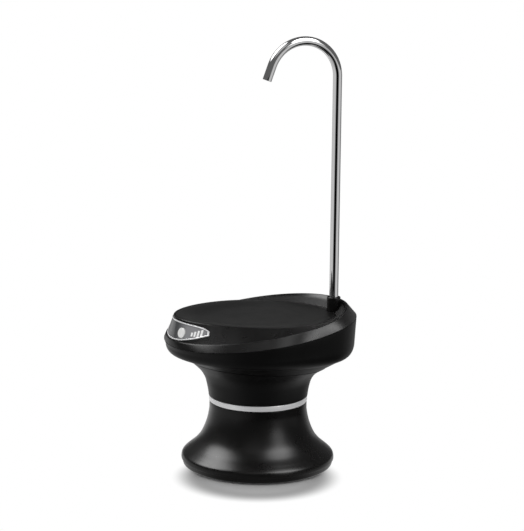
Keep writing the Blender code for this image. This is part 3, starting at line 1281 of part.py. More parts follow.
def build_spout():
    """The bent tube: up from the socket, round the bend and down to its plain cut tip."""
    turns = np.linspace(0, SPOUT_BEND_ANGLE, 17)
    middle = SPOUT_SETBACK - SPOUT_BEND_RADIUS
    path = [(0, SPOUT_SETBACK, SOCKET_BORE_FLOOR + SEAT_GAP)]
    path += [(0, middle + SPOUT_BEND_RADIUS * math.cos(turn),
              SPOUT_BEND_LEVEL + SPOUT_BEND_RADIUS * math.sin(turn)) for turn in turns]
    last = path[-1]
    path.append((0, last[1] - SPOUT_TIP_LENGTH * math.sin(SPOUT_BEND_ANGLE),
                 last[2] + SPOUT_TIP_LENGTH * math.cos(SPOUT_BEND_ANGLE)))
    radius = SPOUT_TUBE_DIAMETER / 2
    return pipe("spout_tube", path, radius, radius - SPOUT_TUBE_WALL, chrome(), SMALL_SIDES + 2)


def build_leads():
    """Leads from the cell and from the motor to the back of the control board."""
    place = button_frame() @ Matrix.Translation((0, -BOARD_DROP, 0))
    reach = 4 * LEAD_RADIUS
    level = BOWL_FLOOR + 2 * SEAT_GAP + HOLDER_FLOOR + CELL_RADIUS
    side = CELL_LENGTH / 2 + SEAT_GAP + HOLDER_WALL + SEAT_GAP
    pads = [place @ Vector((share * BOARD_LENGTH, 0, -BOARD_BACK - SEAT_GAP)) for share in (0.3, -0.3)]
    behind = [place @ Vector((share * BOARD_LENGTH, 0, -BOARD_BACK - reach)) for share in (0.3, -0.3)]
    edge = -CELL_SETBACK - CELL_RADIUS
    battery = lead("battery_lead", flow([(side, -CELL_SETBACK, level),
                                         (side + LEAD_RADIUS, -CELL_SETBACK, level),
                                         (side + 3 * LEAD_RADIUS, -CELL_SETBACK - reach, level),
                                         (side + 2 * LEAD_RADIUS, edge - LEAD_RADIUS, level),
                                         behind[0], pads[0]], 4), lead_red())
    over = level + CELL_RADIUS + 2 * LEAD_RADIUS + SEAT_GAP
    back = PUMP_BACK - SEAT_GAP - MOTOR_LENGTH - SEAT_GAP
    motor = lead("motor_lead", flow([(PUMP_AXLE_X, back, PUMP_LEVEL + MOTOR_RADIUS / 2),
                                     (PUMP_AXLE_X, back - reach, PUMP_LEVEL + MOTOR_RADIUS * 0.7),
                                     (PUMP_AXLE_X * 0.8, -CELL_SETBACK + CELL_RADIUS, over),
                                     (PUMP_AXLE_X * 0.3, -CELL_SETBACK - CELL_RADIUS * 0.6, over),
                                     behind[1], pads[1]], 4), lead_red())
    return [battery, motor]


def main():
    clear_scene()
    build_stand()
    bowl, cover, tray = build_shells()
    neck_pieces = build_neck(bowl)
    head_screws, core = fit_bowl(bowl)
    fit_cover(cover, tray)
    frame, lens, button = build_panel()
    head = [bowl, cover, frame, lens] + neck_pieces + head_screws
    head += build_board() + build_battery(core) + build_port(bowl, core)
    head += build_pump() + build_plumbing() + build_leads()
    carrier("head_lift_axis", (0, 0, STAND_HEIGHT), *head)
    carrier("tray_lift_axis", (0, LIP_SETBACK, TRAY_FLOOR_LEVEL), tray)
    carrier("spout_axis", (0, SPOUT_SETBACK, SOCKET_TOP_LEVEL), build_spout())
    carrier("button_axis", button_frame().translation, button)


main()
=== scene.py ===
# %% [markdown]
# # A bottled water pump on its stand
#
# The machine has an egg-shaped head with a tilted rim, a shallow tray to fill a cup on, a tall
# bent spout and a flared stand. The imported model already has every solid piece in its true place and
# size, so this lesson dresses it: it works out smooth surfaces for what shows, makes finishes
# from nodes, and lights the whole like a studio picture.

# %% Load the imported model
import json
import math

import bmesh
import bpy
import numpy as np
from mathutils import Matrix, Vector


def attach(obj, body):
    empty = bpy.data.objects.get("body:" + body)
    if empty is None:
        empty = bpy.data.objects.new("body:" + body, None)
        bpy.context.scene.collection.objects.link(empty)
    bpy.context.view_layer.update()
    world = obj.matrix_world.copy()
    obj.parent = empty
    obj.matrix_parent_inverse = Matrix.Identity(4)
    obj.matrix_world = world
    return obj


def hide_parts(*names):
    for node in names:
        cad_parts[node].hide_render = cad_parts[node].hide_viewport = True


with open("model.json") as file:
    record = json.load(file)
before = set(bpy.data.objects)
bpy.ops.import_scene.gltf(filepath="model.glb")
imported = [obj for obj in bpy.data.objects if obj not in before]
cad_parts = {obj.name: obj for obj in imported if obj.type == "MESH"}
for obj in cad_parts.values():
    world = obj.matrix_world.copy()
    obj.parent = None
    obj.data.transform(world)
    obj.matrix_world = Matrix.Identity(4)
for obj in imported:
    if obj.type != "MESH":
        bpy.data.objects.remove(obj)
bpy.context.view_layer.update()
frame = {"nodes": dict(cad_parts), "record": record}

# %% [markdown]
# ## The camera
#
# A product picture is taken from far away with a long lens, so that upright lines stay upright.
# The place of the camera was worked out from the photograph: its height from how round the
# ring at the waist looks, and its side from where the spout stands. The picture also leans by
# a little over half a degree, so the camera rolls by that much. It could have been aimed with a constraint,
# but a matrix says it in one go and keeps the roll.

# %% Camera
AIM = Vector((0.0009, 0.0021, 0.1796))
AZIMUTH, ELEVATION, ROLL = math.radians(68), math.radians(11.9), math.radians(0.6)
DISTANCE = 1.921
SENSOR_WIDTH, LENS = 36, 149.2

camera = bpy.data.objects.new("camera", bpy.data.cameras.new("camera"))
bpy.context.scene.collection.objects.link(camera)
backward = Vector((math.sin(AZIMUTH) * math.cos(ELEVATION),
                   -math.cos(AZIMUTH) * math.cos(ELEVATION), math.sin(ELEVATION)))
level_right = Vector((0, 0, 1)).cross(backward).normalized()
level_up = backward.cross(level_right)
right = level_right * math.cos(ROLL) + level_up * math.sin(ROLL)
upward = backward.cross(right)
camera.matrix_world = (Matrix.Translation(AIM + backward * DISTANCE)
                       @ Matrix((right, upward, backward)).transposed().to_4x4())
camera.data.sensor_width, camera.data.lens = SENSOR_WIDTH, LENS
camera.data.clip_start, camera.data.clip_end = 0.05, 60
bpy.context.scene.camera = camera
print("Camera at", tuple(round(x, 3) for x in camera.matrix_world.translation))

# %% [markdown]
# ## Surfaces from grids of points
#
# Every new piece is a grid: one direction runs along a profile and the other round or along
# the piece. Numpy works the whole grid out at once, and the faces follow from the numbering of
# its points. Modelling by hand with extrude and scale would give the same shapes, but a formula
# keeps the true sizes and can be drawn as finely as the picture needs.

# %% Grids
def grid_faces(rows, columns, loop_rows=False, loop_columns=True):
    """Four-sided faces of a grid: each joins a point, the next one in its row and the two of
    the next row. A direction that loops goes from its last line back to its first."""
    row = np.arange(rows if loop_rows else rows - 1)[:, None]
    column = np.arange(columns if loop_columns else columns - 1)[None, :]
    next_row, next_column = (row + 1) % rows, (column + 1) % columns
    corners = (row * columns + column, row * columns + next_column,
               next_row * columns + next_column, next_row * columns + column)
    return np.stack([corner.ravel() for corner in corners], axis=-1)


def unit(vectors):
    """Vectors divided by their own lengths."""
    return vectors / np.maximum(np.linalg.norm(vectors, axis=-1, keepdims=True), 1e-12)


def soften(lines, reach, steps=4, loop=False):
    """Rounds the corners of a profile. Each corner point is swapped for a curve that leaves one
    side a reach before the corner and joins the other side a reach after it: the point at t is
    (1 - t) squared of the first, 2t(1 - t) of the corner and t squared of the last."""
    lines = np.asarray(lines, float)
    before, after = np.roll(lines, 1, axis=0), np.roll(lines, -1, axis=0)
    room = np.minimum(np.linalg.norm(before - lines, axis=-1), np.linalg.norm(after - lines, axis=-1))
    reach = np.broadcast_to(np.reshape(reach, (-1,) + (1,) * (room.ndim - 1)), room.shape)
    cut = np.minimum(reach, 0.45 * room)[..., None]
    first, last = lines + unit(before - lines) * cut, lines + unit(after - lines) * cut
    t = np.linspace(0, 1, steps + 1).reshape((1, -1) + (1,) * (lines.ndim - 1))
    curve = (1 - t) ** 2 * first[:, None] + 2 * t * (1 - t) * lines[:, None] + t ** 2 * last[:, None]
    if loop:
        return curve.reshape((-1,) + lines.shape[1:])
    inner = curve[1:-1].reshape((-1,) + lines.shape[1:])
    return np.concatenate((lines[:1], inner, lines[-1:]))


def flow(points, steps=8):
    """A smooth line through the points: between two of them it follows the cubic whose slope
    at each is half the way from the point before to the point after."""
    points = np.asarray(points, float)
    padded = np.concatenate((2 * points[:1] - points[1:2], points, 2 * points[-1:] - points[-2:-1]))
    a, b, c, d = padded[:-3, None], padded[1:-2, None], padded[2:-1, None], padded[3:, None]
    t = np.linspace(0, 1, steps, endpoint=False)[None, :, None]
    line = b + 0.5 * t * (c - a + t * (2 * a - 5 * b + 4 * c - d + t * (3 * (b - c) + d - a)))
    return np.concatenate((line.reshape(-1, points.shape[1]), points[-1:]))


TURNED_SIDES = 192


def revolve(outline, sides=TURNED_SIDES, centre=(0, 0)):
    """A profile of radii and levels turned about an upright axis: x is the radius times the
    cosine of the turn and y the radius times its sine."""
    outline = np.asarray(outline, float)
    turn = np.linspace(0, 2 * math.pi, sides, endpoint=False)
    radius, level = outline[:, :1], outline[:, 1:]
    return np.stack((centre[0] + radius * np.cos(turn), centre[1] + radius * np.sin(turn),
                     np.broadcast_to(level, (len(outline), sides))), axis=-1)


print("Eight faces join a grid of 3 by 4 that loops one way:", len(grid_faces(3, 4)) == 8)

# %% [markdown]
# A grid becomes a piece of the object in one helper. It welds points that fall together, such
# as a pole, turns every face outwards, and keeps an edge crisp only where two faces meet at more
# than a set angle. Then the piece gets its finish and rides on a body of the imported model.

# %% From points to a piece
CREASE = math.radians(28)


def weld_outwards(mesh):
    """Joins points that fall together and turns every face outwards."""
    shape = bmesh.new()
    shape.from_mesh(mesh)
    bmesh.ops.remove_doubles(shape, verts=shape.verts, dist=1e-7)
    bmesh.ops.dissolve_degenerate(shape, dist=1e-8, edges=shape.edges)
    bmesh.ops.recalc_face_normals(shape, faces=shape.faces)
    shape.to_mesh(mesh)
    shape.free()


def make_mesh(name, points, faces):
    """An object at the origin from points and the faces that join them."""
    mesh = bpy.data.meshes.new(name)
    mesh.from_pydata(np.asarray(points).reshape(-1, 3).tolist(), [], faces.tolist())
    weld_outwards(mesh)
    item = bpy.data.objects.new(name, mesh)
    bpy.context.scene.collection.objects.link(item)
    return item


def skin(name, points, loop_rows=False):
    """A piece from a grid whose columns go all round. Its rows do too where a profile is closed."""
    return make_mesh(name, points, grid_faces(*points.shape[:2], loop_rows))


def carve(item, *cutters):
    """Takes the cutters' shapes out of a piece, keeps the result as its mesh, and removes them."""
    for cutter in cutters:
        change = item.modifiers.new("carve", "BOOLEAN")
        change.operation, change.solver, change.object = "DIFFERENCE", "EXACT", cutter
    graph = bpy.context.evaluated_depsgraph_get()
    carved = bpy.data.meshes.new_from_object(item.evaluated_get(graph))
    item.modifiers.clear()
    item.data = carved
    for cutter in cutters:
        bpy.data.objects.remove(cutter, do_unlink=True)


def dress(item, body, finish, stands_for=()):
    """Smooths a piece's shading, gives it its finish and puts it on its body."""
    item.data.shade_smooth()
    item.data.set_sharp_from_angle(angle=CREASE)
    item.data.materials.clear()
    item.data.materials.append(finish.material)
    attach(item, body)
    if stands_for:
        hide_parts(*stands_for)
    print(f"{item.name}: {len(item.data.polygons)} faces on body {body}")
    return item


print("Helpers for pieces are ready")

# %% [markdown]
# ## Shader maths
#
# A finish is a small graph of nodes. Joined by hand it is quick to read but slow to change, so
# here one class stands for a number that varies over the surface, and ordinary Python sums and
# products of it add the Math nodes. A vector goes through one method of the graph instead.

# %% Values and finishes
class Value:
    """One output of a node. Arithmetic on it adds Math nodes to the same graph."""

    def __init__(self, graph, socket):
        self.graph, self.socket = graph, socket

    def math(self, operation, first, second):
        return self.graph.node("ShaderNodeMath", {"operation": operation}, {0: first, 1: second})

    def __add__(self, other):
        return self.math("ADD", self, other)

    def __sub__(self, other):
        return self.math("SUBTRACT", self, other)

    def __rsub__(self, other):
        return self.math("SUBTRACT", other, self)

    def __mul__(self, other):
        return self.math("MULTIPLY", self, other)

    __radd__, __rmul__ = __add__, __mul__

    def ramp(self, low, high):
        """0 below low, 1 above high, and a smooth step between them."""
        return self.graph.node("ShaderNodeMapRange", {"interpolation_type": "SMOOTHSTEP"},
                               {"Value": self, "From Min": low, "From Max": high})


class Graph:
    """A tree of nodes, with one way to add any node."""

    def __init__(self, tree):
        self.tree = tree

    def feed(self, socket, value):
        """Links a value to a socket, or sets a constant on it."""
        if isinstance(value, Value):
            self.tree.links.new(value.socket, socket)
        else:
            socket.default_value = value

    def node(self, kind, settings=(), sockets=(), output=0):
        """Adds a node: its settings first, then the value or link of each socket. A node that
        only takes in, such as the world's output, has no value to give back."""
        made = self.tree.nodes.new(kind)
        for label, value in dict(settings).items():
            setattr(made, label, value)
        for label, value in dict(sockets).items():
            self.feed(made.inputs[label], value)
        return Value(self, made.outputs[output]) if made.outputs else None

    def vector(self, operation, *values):
        """Vector Math. A length and a dot product come out as numbers, the rest as vectors."""
        output = "Value" if operation in ("LENGTH", "DOT_PRODUCT") else "Vector"
        return self.node("ShaderNodeVectorMath", {"operation": operation}, enumerate(values), output)


class Finish(Graph):
    """A material in the making, with a few named patterns."""

    def __init__(self, name, colour, roughness, metallic=0.0, **more):
        self.material = bpy.data.materials.new(name)
        self.material.use_nodes = True
        super().__init__(self.material.node_tree)
        self.shader = self.tree.nodes["Principled BSDF"]
        self.set("Base Color", (*colour, 1))
        self.set("Roughness", roughness)
        self.set("Metallic", metallic)
        for label, value in more.items():
            self.set(label.replace("_", " "), value)

    def set(self, label, value):
        self.feed(self.shader.inputs[label], value)

    def place(self, stretch=(1, 1, 1)):
        """The point on the surface in the model's metres, each axis times its stretch."""
        point = self.node("ShaderNodeTexCoord", output="Object")
        return point if stretch == (1, 1, 1) else self.vector("MULTIPLY", point, stretch)

    def noise(self, scale, detail=3.0, stretch=(1, 1, 1)):
        """A cloudy pattern from 0 to 1, with so many waves to the metre."""
        return self.node("ShaderNodeTexNoise", sockets={
            "Vector": self.place(stretch), "Scale": scale, "Detail": detail, "Roughness": 0.55})

    def tint(self, mask, first, second):
        """A colour between two, by a mask from 0 to 1."""
        return self.node("ShaderNodeMix", {"data_type": "RGBA"},
                         {0: mask, 6: (*first, 1), 7: (*second, 1)}, output=2)

    def relief(self, height, distance, strength):
        """Bumps that stand up by the distance where the height goes from 0 to 1."""
        self.set("Normal", self.node("ShaderNodeBump", sockets={
            "Height": height, "Distance": distance, "Strength": strength}))


print("Shader helpers are ready")

# %% [markdown]
# ## Finishes
#
# Black plastic is never one flat black. A gloss moulding has a slow ripple, called orange peel,
# that bends reflections a little, and its shine changes where hands and cloths have touched it.
# A matte moulding has the fine grain of its spark-eroded tool. Both show mostly by what they
# reflect, so their colour varies little and their roughness a good deal. The cover's wall behind
# the tray is textured, so it is rougher there and stays dark beside the bright band.

# %% Black plastics
ORANGE_PEEL, SPARK_GRAIN, GRAIN_SCALE = 0.00003, 0.00004, 2600
REAR_WALL_ROUGHER = 0.33


def rear_wall(finish):
    """1 on the wall inside the rim, behind the tray: the product of how far a point lies within
    the crest's oval, which has one stretch across and one along, and how far behind the middle."""
    reach = finish.vector("LENGTH", finish.vector("ADD", finish.place((14.5, 12.45, 0)), (0, 0.02, 0)))
    behind = finish.vector("DOT_PRODUCT", finish.place(), (0, 1, 0))
    return (1 - reach.ramp(0.95, 0.985)) * behind.ramp(0.005, 0.030)


def gloss_plastic(name, colour, roughness, textured=None):
    """Gloss with orange peel, hazy in places. A mask can make a textured part of it rougher."""
    finish = Finish(name, colour, roughness, Specular_IOR_Level=0.32)
    cloud, haze = finish.noise(22, 4), finish.noise(140, 5)
    finish.set("Base Color", finish.tint(cloud, [c * 0.75 for c in colour], [c * 1.35 for c in colour]))
    wiped = finish.noise(60, 6, (1, 1, 0.25)).ramp(0.35, 0.75)
    shine = roughness + 0.05 * (haze - 0.5) + 0.04 * wiped
    if textured:
        shine = shine + REAR_WALL_ROUGHER * textured(finish)
    finish.set("Roughness", shine)
    finish.relief(finish.noise(95, 2) + 0.12 * finish.noise(900, 3), ORANGE_PEEL, 0.35)
    return finish


def grained_plastic(name, colour, roughness):
    """Matte with a spark grain, a little shinier where it is rubbed."""
    finish = Finish(name, colour, roughness, Specular_IOR_Level=0.20)
    cloud, rubbed = finish.noise(18, 4), finish.noise(45, 6).ramp(0.42, 0.72)
    finish.set("Base Color", finish.tint(cloud, [c * 0.8 for c in colour], [c * 1.3 for c in colour]))
    finish.set("Roughness", roughness + 0.06 * (finish.noise(300, 4) - 0.5) - 0.05 * rubbed)
    finish.relief(finish.noise(GRAIN_SCALE, 3), SPARK_GRAIN, 0.5)
    return finish


gloss_black = gloss_plastic("gloss_black_plastic", (0.0034, 0.0031, 0.0030), 0.27)
cover_black = gloss_plastic("cover_black_plastic", (0.0034, 0.0032, 0.0032), 0.27, rear_wall)
tray_black = gloss_plastic("tray_black_plastic", (0.0050, 0.0050, 0.0050), 0.30)
matte_black = grained_plastic("matte_black_plastic", (0.0034, 0.0034, 0.0034), 0.42)
inner_black = grained_plastic("inner_black_plastic", (0.03, 0.03, 0.031), 0.6)
print("Black plastics are ready")

# %% [markdown]
# The ring at the waist is satin silver, with faint lines round it from the lathe. The spout is
# polished tube: a metal that reflects nearly everything, with very fine lengthwise draw marks.
# The screws and the ballast inside are plain steel. Noise that is stretched one way draws all
# such marks, so no picture is needed for them.

# %% Metals
silver = Finish("satin_silver", (0.88, 0.88, 0.89), 0.34, 0.35)
lathe = silver.noise(1.0, 3, (40, 40, 5200))
silver.set("Base Color", silver.tint(silver.noise(35, 3), (0.84, 0.84, 0.85), (0.92, 0.92, 0.93)))
silver.set("Roughness", 0.30 + 0.09 * lathe)
silver.relief(lathe, 0.000006, 0.4)

chrome = Finish("polished_tube", (0.82, 0.82, 0.82), 0.06, 1.0)
drawn = chrome.noise(1.0, 3, (2600, 2600, 30))
chrome.set("Base Color", chrome.tint(chrome.noise(28, 3), (0.78, 0.78, 0.785), (0.85, 0.85, 0.85)))
chrome.set("Roughness", 0.045 + 0.04 * drawn)
chrome.relief(drawn, 0.000002, 0.3)

steel = Finish("plain_steel", (0.55, 0.56, 0.57), 0.34, 1.0)
steel.set("Base Color", steel.tint(steel.noise(120, 5), (0.46, 0.47, 0.48), (0.62, 0.63, 0.64)))
steel.set("Roughness", 0.26 + 0.18 * steel.noise(700, 4))
steel.relief(steel.noise(1800, 3), 0.000006, 0.4)
print("Metals are ready")

# %% [markdown]
# The rest are the window of the control panel, the pale plastics, the rubbers, and what is on
# the inside: boards, the cell's wrap and the leads' sleeves. The window's colour turns paler towards
# the end that looks at the bright side of the studio: a painted reflection of that side.

# %% Other finishes
def moulded(name, colour, roughness, spread=0.12, relief=0.000008, **more):
    """A plain moulding: slow changes of tone, finer changes of shine and a faint relief."""
    finish = Finish(name, colour, roughness, **more)
    low, high = [c * (1 - spread) for c in colour], [min(1, c * (1 + spread)) for c in colour]
    finish.set("Base Color", finish.tint(finish.noise(60, 4), low, high))
    finish.set("Roughness", roughness + 0.12 * (finish.noise(350, 4) - 0.5))
    finish.relief(finish.noise(1500, 3), relief, 0.4)
    return finish


window = moulded("smoked_window", (0.10, 0.10, 0.105), 0.12, 0.25, 0.000002, Coat_Weight=0.3)
across = window.vector("DOT_PRODUCT", window.place(), (1, 0, 0))
# Painted reflection: the window's colour turns paler towards +x, the end that faces the studio's bright
# side.
painted_reflection = across.ramp(0.006, 0.021) * (0.85 + 0.3 * window.noise(90, 3))
window.set("Base Color", window.tint(painted_reflection, (0.065, 0.067, 0.07), (0.27, 0.27, 0.28)))
white_plastic = moulded("white_plastic", (0.86, 0.86, 0.85), 0.34, 0.03)
mark_white = moulded("printed_white", (0.90, 0.90, 0.90), 0.5, 0.02)
silicone = moulded("milky_silicone", (0.74, 0.76, 0.76), 0.42, 0.06, Subsurface_Weight=0.15)
rubber = moulded("black_rubber", (0.02, 0.02, 0.02), 0.75, 0.3, 0.00002)
gear_plastic = moulded("ivory_nylon", (0.80, 0.77, 0.68), 0.4, 0.06)
board_green = moulded("board_green", (0.02, 0.15, 0.065), 0.4, 0.3)
cell_wrap = moulded("cell_wrap", (0.05, 0.13, 0.40), 0.32, 0.15)
lead_sleeve = moulded("lead_sleeve", (0.45, 0.02, 0.02), 0.45, 0.15)
FINISH_OF_SLOT = {
    "gloss_black": gloss_black, "matte_black": matte_black, "inner_black": inner_black,
    "silver": silver, "chrome": chrome, "steel": steel, "white_plastic": white_plastic,
    "smoked_lens": window, "silicone": silicone, "black_rubber": rubber,
    "gear_white": gear_plastic, "board_green": board_green, "cell_blue": cell_wrap,
    "lead_red": lead_sleeve,
}
print(len(FINISH_OF_SLOT), "finishes, one for each slot of the record")

# %% [markdown]
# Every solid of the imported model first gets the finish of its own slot. The ones that show are
# then hidden behind the finer surfaces that follow.

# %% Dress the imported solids
slot_of_node = {part["node"]: part["material_slot"] for part in frame["record"]["subparts"]}

for node, item in frame["nodes"].items():
    item.data.materials.clear()
    item.data.materials.append(FINISH_OF_SLOT[slot_of_node[node]].material)
print(len(frame["nodes"]), "solids dressed")

# %% [markdown]
# ## The stand
#
# The stand is one glossy turned moulding. From a narrow waist it flares out like a bell, rolls
# over into a rounded foot, and ends in a low band that is set back under a small lip. The lip is
# what draws the thin bright line along the foot. A revolved profile is the natural way to make
# it: the whole shape is one line, and its corners are rounded before it is turned.

# %% Stand
STAND_TOP, SPIGOT_TOP = 0.0587, 0.0927
STAND_WALL, SPIGOT_RADIUS, SPIGOT_BORE = 0.0024, 0.0275, 0.0253
CROWN_FOOT = (SPIGOT_RADIUS, SPIGOT_TOP - 0.002)
CEILING, LEAST_STEP, PAD_RADIUS, PAD_CEILING = 0.0563, 0.0003, 0.0608, 0.0058
WAIST, FOOT_LINE = (0.0430, 0.0575), (0.0674, 0.0090)

flare = flow([WAIST, (0.0432, 0.0502), (0.0456, 0.0392), (0.0503, 0.0281), (0.0560, 0.0207),
              (0.0622, 0.0153), (0.0648, 0.0131), (0.0664, 0.0115), (0.0671, 0.0103), FOOT_LINE])
foot = soften([FOOT_LINE, (0.0676, 0.0072), (0.0674, 0.0062), (0.0667, 0.0060), (0.0666, 0.0053),
               (0.0660, 0.0020), (0.0634, 0.0006)], [0, .001, .0003, .0002, .0002, .0012, 0])
shoulder = soften([WAIST, (WAIST[0], STAND_TOP), (SPIGOT_RADIUS, STAND_TOP), CROWN_FOOT], 0.0006)
crown = soften([CROWN_FOOT, (SPIGOT_RADIUS, SPIGOT_TOP), (SPIGOT_BORE, SPIGOT_TOP),
                (SPIGOT_BORE, CEILING)], 0.0009)
hollow = flare[::2] - (STAND_WALL, 0)
hollow = hollow[hollow[:, 1] < CEILING - LEAST_STEP]
outline = np.concatenate((flare[::-1], shoulder[1:], crown[1:], [(hollow[0][0], CEILING)], hollow,
                          [(PAD_RADIUS, PAD_CEILING), (PAD_RADIUS, foot[-1][1])], foot[::-1]))
stand = skin("stand_moulding", revolve(outline), True)
dress(stand, "stand", gloss_black, ["stand_shell"])

# %% [markdown]
# ## The ring
#
# The bright ring sits in the gap between stand and neck, and it rides on the head. It is turned
# like the stand, from a small closed rectangle with eased corners.

# %% Ring
RING_BORE, RING_RADIUS, RING_LOW, RING_HIGH = 0.0404, 0.0433, 0.0590, 0.0637

ring_line = soften([(RING_BORE, RING_LOW), (RING_RADIUS, RING_LOW), (RING_RADIUS, RING_HIGH),
                    (RING_BORE, RING_HIGH)], 0.0006, loop=True)
dress(skin("waist_ring", revolve(ring_line), True), "head", silver, ["trim_ring"])

# %% [markdown]
# ## The head's outlines
#
# Seen from above, every edge of the head is an egg, and each egg tilts its own way: the rim and
# the crest climb towards the back, and the tray's lip falls. One formula gives them all. At each
# turn round the head, across is the sine and ahead the cosine, each to a power that squares the
# egg up or draws it in. Fullness widens the front and climb lifts the back.

# %% Egg outlines
AROUND = np.linspace(0, 2 * math.pi, 320, endpoint=False)
RIM = (0.0720, 0.0865, 0.0027, 0.1238, 0.10, 0.10, 2.0)
CREST = (0.0700, 0.0814, -0.0016, 0.1322, -0.04, 0.139, 2.0)
LIP = (0.0575, 0.0745, -0.0029, 0.1365, -0.05, -0.040, 1.85)
KEEL = (0.0636, 0.0782, 0.0016, 0.1007, 0.06, -0.050, 2.0)


def egg(shape, inset=0.0, lift=0.0, turn=AROUND):
    """x is half the width times across times 1 + fullness times ahead, y is the setback less
    half the length times ahead, and z is the level plus climb times y."""
    half_width, half_length, setback, level, fullness, climb, power = shape
    turn = np.asarray(turn, float)
    ahead = np.sign(np.cos(turn)) * np.abs(np.cos(turn)) ** (2 / power)
    across = np.sign(np.sin(turn)) * np.abs(np.sin(turn)) ** (2 / power)
    y = setback - (half_length - inset) * ahead
    return np.stack(((half_width - inset) * across * (1 + fullness * ahead), y,
                     level + climb * y + lift), axis=-1)


def between(first, second, share):
    """A share of the way from the first to the second."""
    return first * (1 - share) + second * share


print("The rim runs from", egg(RIM)[0].round(4), "to", egg(RIM)[len(AROUND) // 2].round(4))

# %% [markdown]
# ## The neck
#
# The neck is round at the ring. It opens like the bell of a trumpet, and its upper end leans
# down towards the back to follow the bowl. A turned profile can't lean, so its rows go from
# circles to eggs, and a smooth line runs up through each column of them.

# %% Neck
NECK_RIBS = [(0.0437, 0.0437, 0.0, 0.0640, 0, 0.0, 2.0), (0.0442, 0.0442, 0.0, 0.0680, 0, 0.0, 2.0),
             (0.0454, 0.0454, 0.0, 0.0740, 0, 0.0, 2.0), (0.0472, 0.0472, 0.0, 0.0800, 0, -0.01, 2.0),
             (0.0502, 0.0507, -0.0004, 0.0856, 0, -0.030, 2.0),
             (0.0542, 0.0558, -0.0010, 0.0902, 0, -0.050, 2.0)]
SKIRT = (0.0585, 0.0622, -0.0004, 0.0942, 0, -0.058, 2.0)
NIPPLE_HOLE, WEB_RADIUS, WEB_TOP, WEB_UNDERSIDE = 0.0043, 0.0500, 0.1024, 0.1000
NECK_MOUTH = [(0.0373, 0.0655), (0.0373, 0.0590), (0.0401, 0.0590), (0.0401, 0.0640), (0.0437, 0.0640)]
NECK_HOLLOW = [(0.0440, WEB_UNDERSIDE), (0.0440, 0.0880), (0.0414, 0.0655)]


def circle_loop(radius, level):
    """A level circle: x is the radius times the sine of the turn and y minus the radius times
    its cosine. It starts at the front like the eggs, so that rows match."""
    levels = np.full_like(AROUND, level)
    return np.stack((radius * np.sin(AROUND), -radius * np.cos(AROUND), levels), axis=-1)


def circle_loops(places):
    """One row for each pair of a radius and a level."""
    return np.stack([circle_loop(radius, level) for radius, level in places])


ribs = np.stack([egg(shape) for shape in NECK_RIBS + [SKIRT]])
neck_side = flow(ribs.reshape(len(ribs), -1)).reshape(-1, len(AROUND), 3)
mouth = soften(np.concatenate((circle_loops(NECK_MOUTH), neck_side[1:2])),
               [0, .0004, .0004, .0002, .0004, 0])
web = [(WEB_RADIUS, WEB_TOP), (NIPPLE_HOLE, WEB_TOP), (NIPPLE_HOLE, WEB_UNDERSIDE)]
neck = skin("neck_moulding", np.concatenate((mouth, neck_side[2:], circle_loops(web + NECK_HOLLOW))), True)
dress(neck, "head", matte_black, ["neck_shell"])

# %% [markdown]
# ## The bowl
#
# The bowl is the lower half of the head. From the neck it opens in a shallow cone, turns up
# round the keel and rises as a nearly upright wall to the rim. Its loops are lofted: each row of
# the grid is one egg, and the rows in between follow from shares of the way.

# %% Bowl
BOWL_WALL, CORNER_HEIGHT, WALL_TAPER = 0.0022, 0.0135, 0.0014
BOWL_UNDERSIDE, BOWL_GAP = 0.1027, 0.0003


def bowl_rows(inset=0.0, lift=0.0):
    """Rows from the neck to the rim. The corner is a quarter turn from the keel's egg, below,
    to the wall's foot, which stands out by the sine of the turn and up by 1 less its cosine.
    The foot's height is the corner's, times 1 less e to the power of minus the room below the
    rim over it. Inside, the trough and the middle widen by shares of the wall's thickness."""
    low, rim = egg(KEEL, inset, lift), egg(RIM, inset)
    room = rim[:, 2:] - low[:, 2:]
    wall_foot = egg(RIM, inset + WALL_TAPER)
    wall_foot[:, 2:] = low[:, 2:] + CORNER_HEIGHT * (1 - np.exp(-room / CORNER_HEIGHT))
    turn = np.linspace(0, math.pi / 2, 13)[1:, None, None]
    out = np.concatenate((np.sin(turn), np.sin(turn), 1 - np.cos(turn)), axis=-1)
    corner = low + (wall_foot - low) * out
    trough = egg(SKIRT, -0.4 * inset, BOWL_GAP + lift)
    cone = between(trough, low, np.linspace(0, 1, 5)[:, None, None])
    wall = between(corner[-1], rim, np.linspace(0, 1, 5)[1:, None, None])
    middle = circle_loop(WEB_RADIUS + 0.9 * inset, BOWL_UNDERSIDE + lift)[None]
    return np.concatenate((middle, cone, corner, wall))


outer, inner = bowl_rows(), bowl_rows(BOWL_WALL, BOWL_WALL)[::-1]
edge = soften(np.stack((outer[-2], outer[-1], inner[0], inner[1])), 0.0002)
rows = np.concatenate((circle_loops([(NIPPLE_HOLE, BOWL_UNDERSIDE)]), outer[:-1], edge[1:-1], inner[1:],
                       circle_loops([(NIPPLE_HOLE, BOWL_UNDERSIDE + BOWL_WALL)])))
bowl = skin("bowl_moulding", rows, True)
print("Bowl rows:", rows.shape)

# %% [markdown]
# The charging port looks out of the back wall. It is cut with the Boolean modifier, which is
# quicker than working the hole into the grid and leaves its smooth rows alone.

# %% The charging port's way
PORT_LEVEL, PORT_WIDTH, PORT_HEIGHT, PORT_DEPTH, PORT_INNER_END = 0.1220, 0.0096, 0.0038, 0.0120, 0.0800


def rounded_slot(name, width, height, length, centre):
    """A flat oval tube along y: half circles at both ends of its width, closed at its ends."""
    turn, radius = np.linspace(0, math.pi, 9), height / 2
    right_end = np.stack((width / 2 - radius + radius * np.sin(turn), radius * np.cos(turn)), -1)
    oval = np.concatenate((right_end, -right_end))
    spans = np.array([(0, 0), (0, 1), (length, 1), (length, 0)], float)
    points = np.stack((np.outer(spans[:, 1], oval[:, 0]),
                       np.repeat(spans[:, :1], len(oval), axis=1),
                       np.outer(spans[:, 1], oval[:, 1])), axis=-1)
    return skin(name, points + np.array(centre))


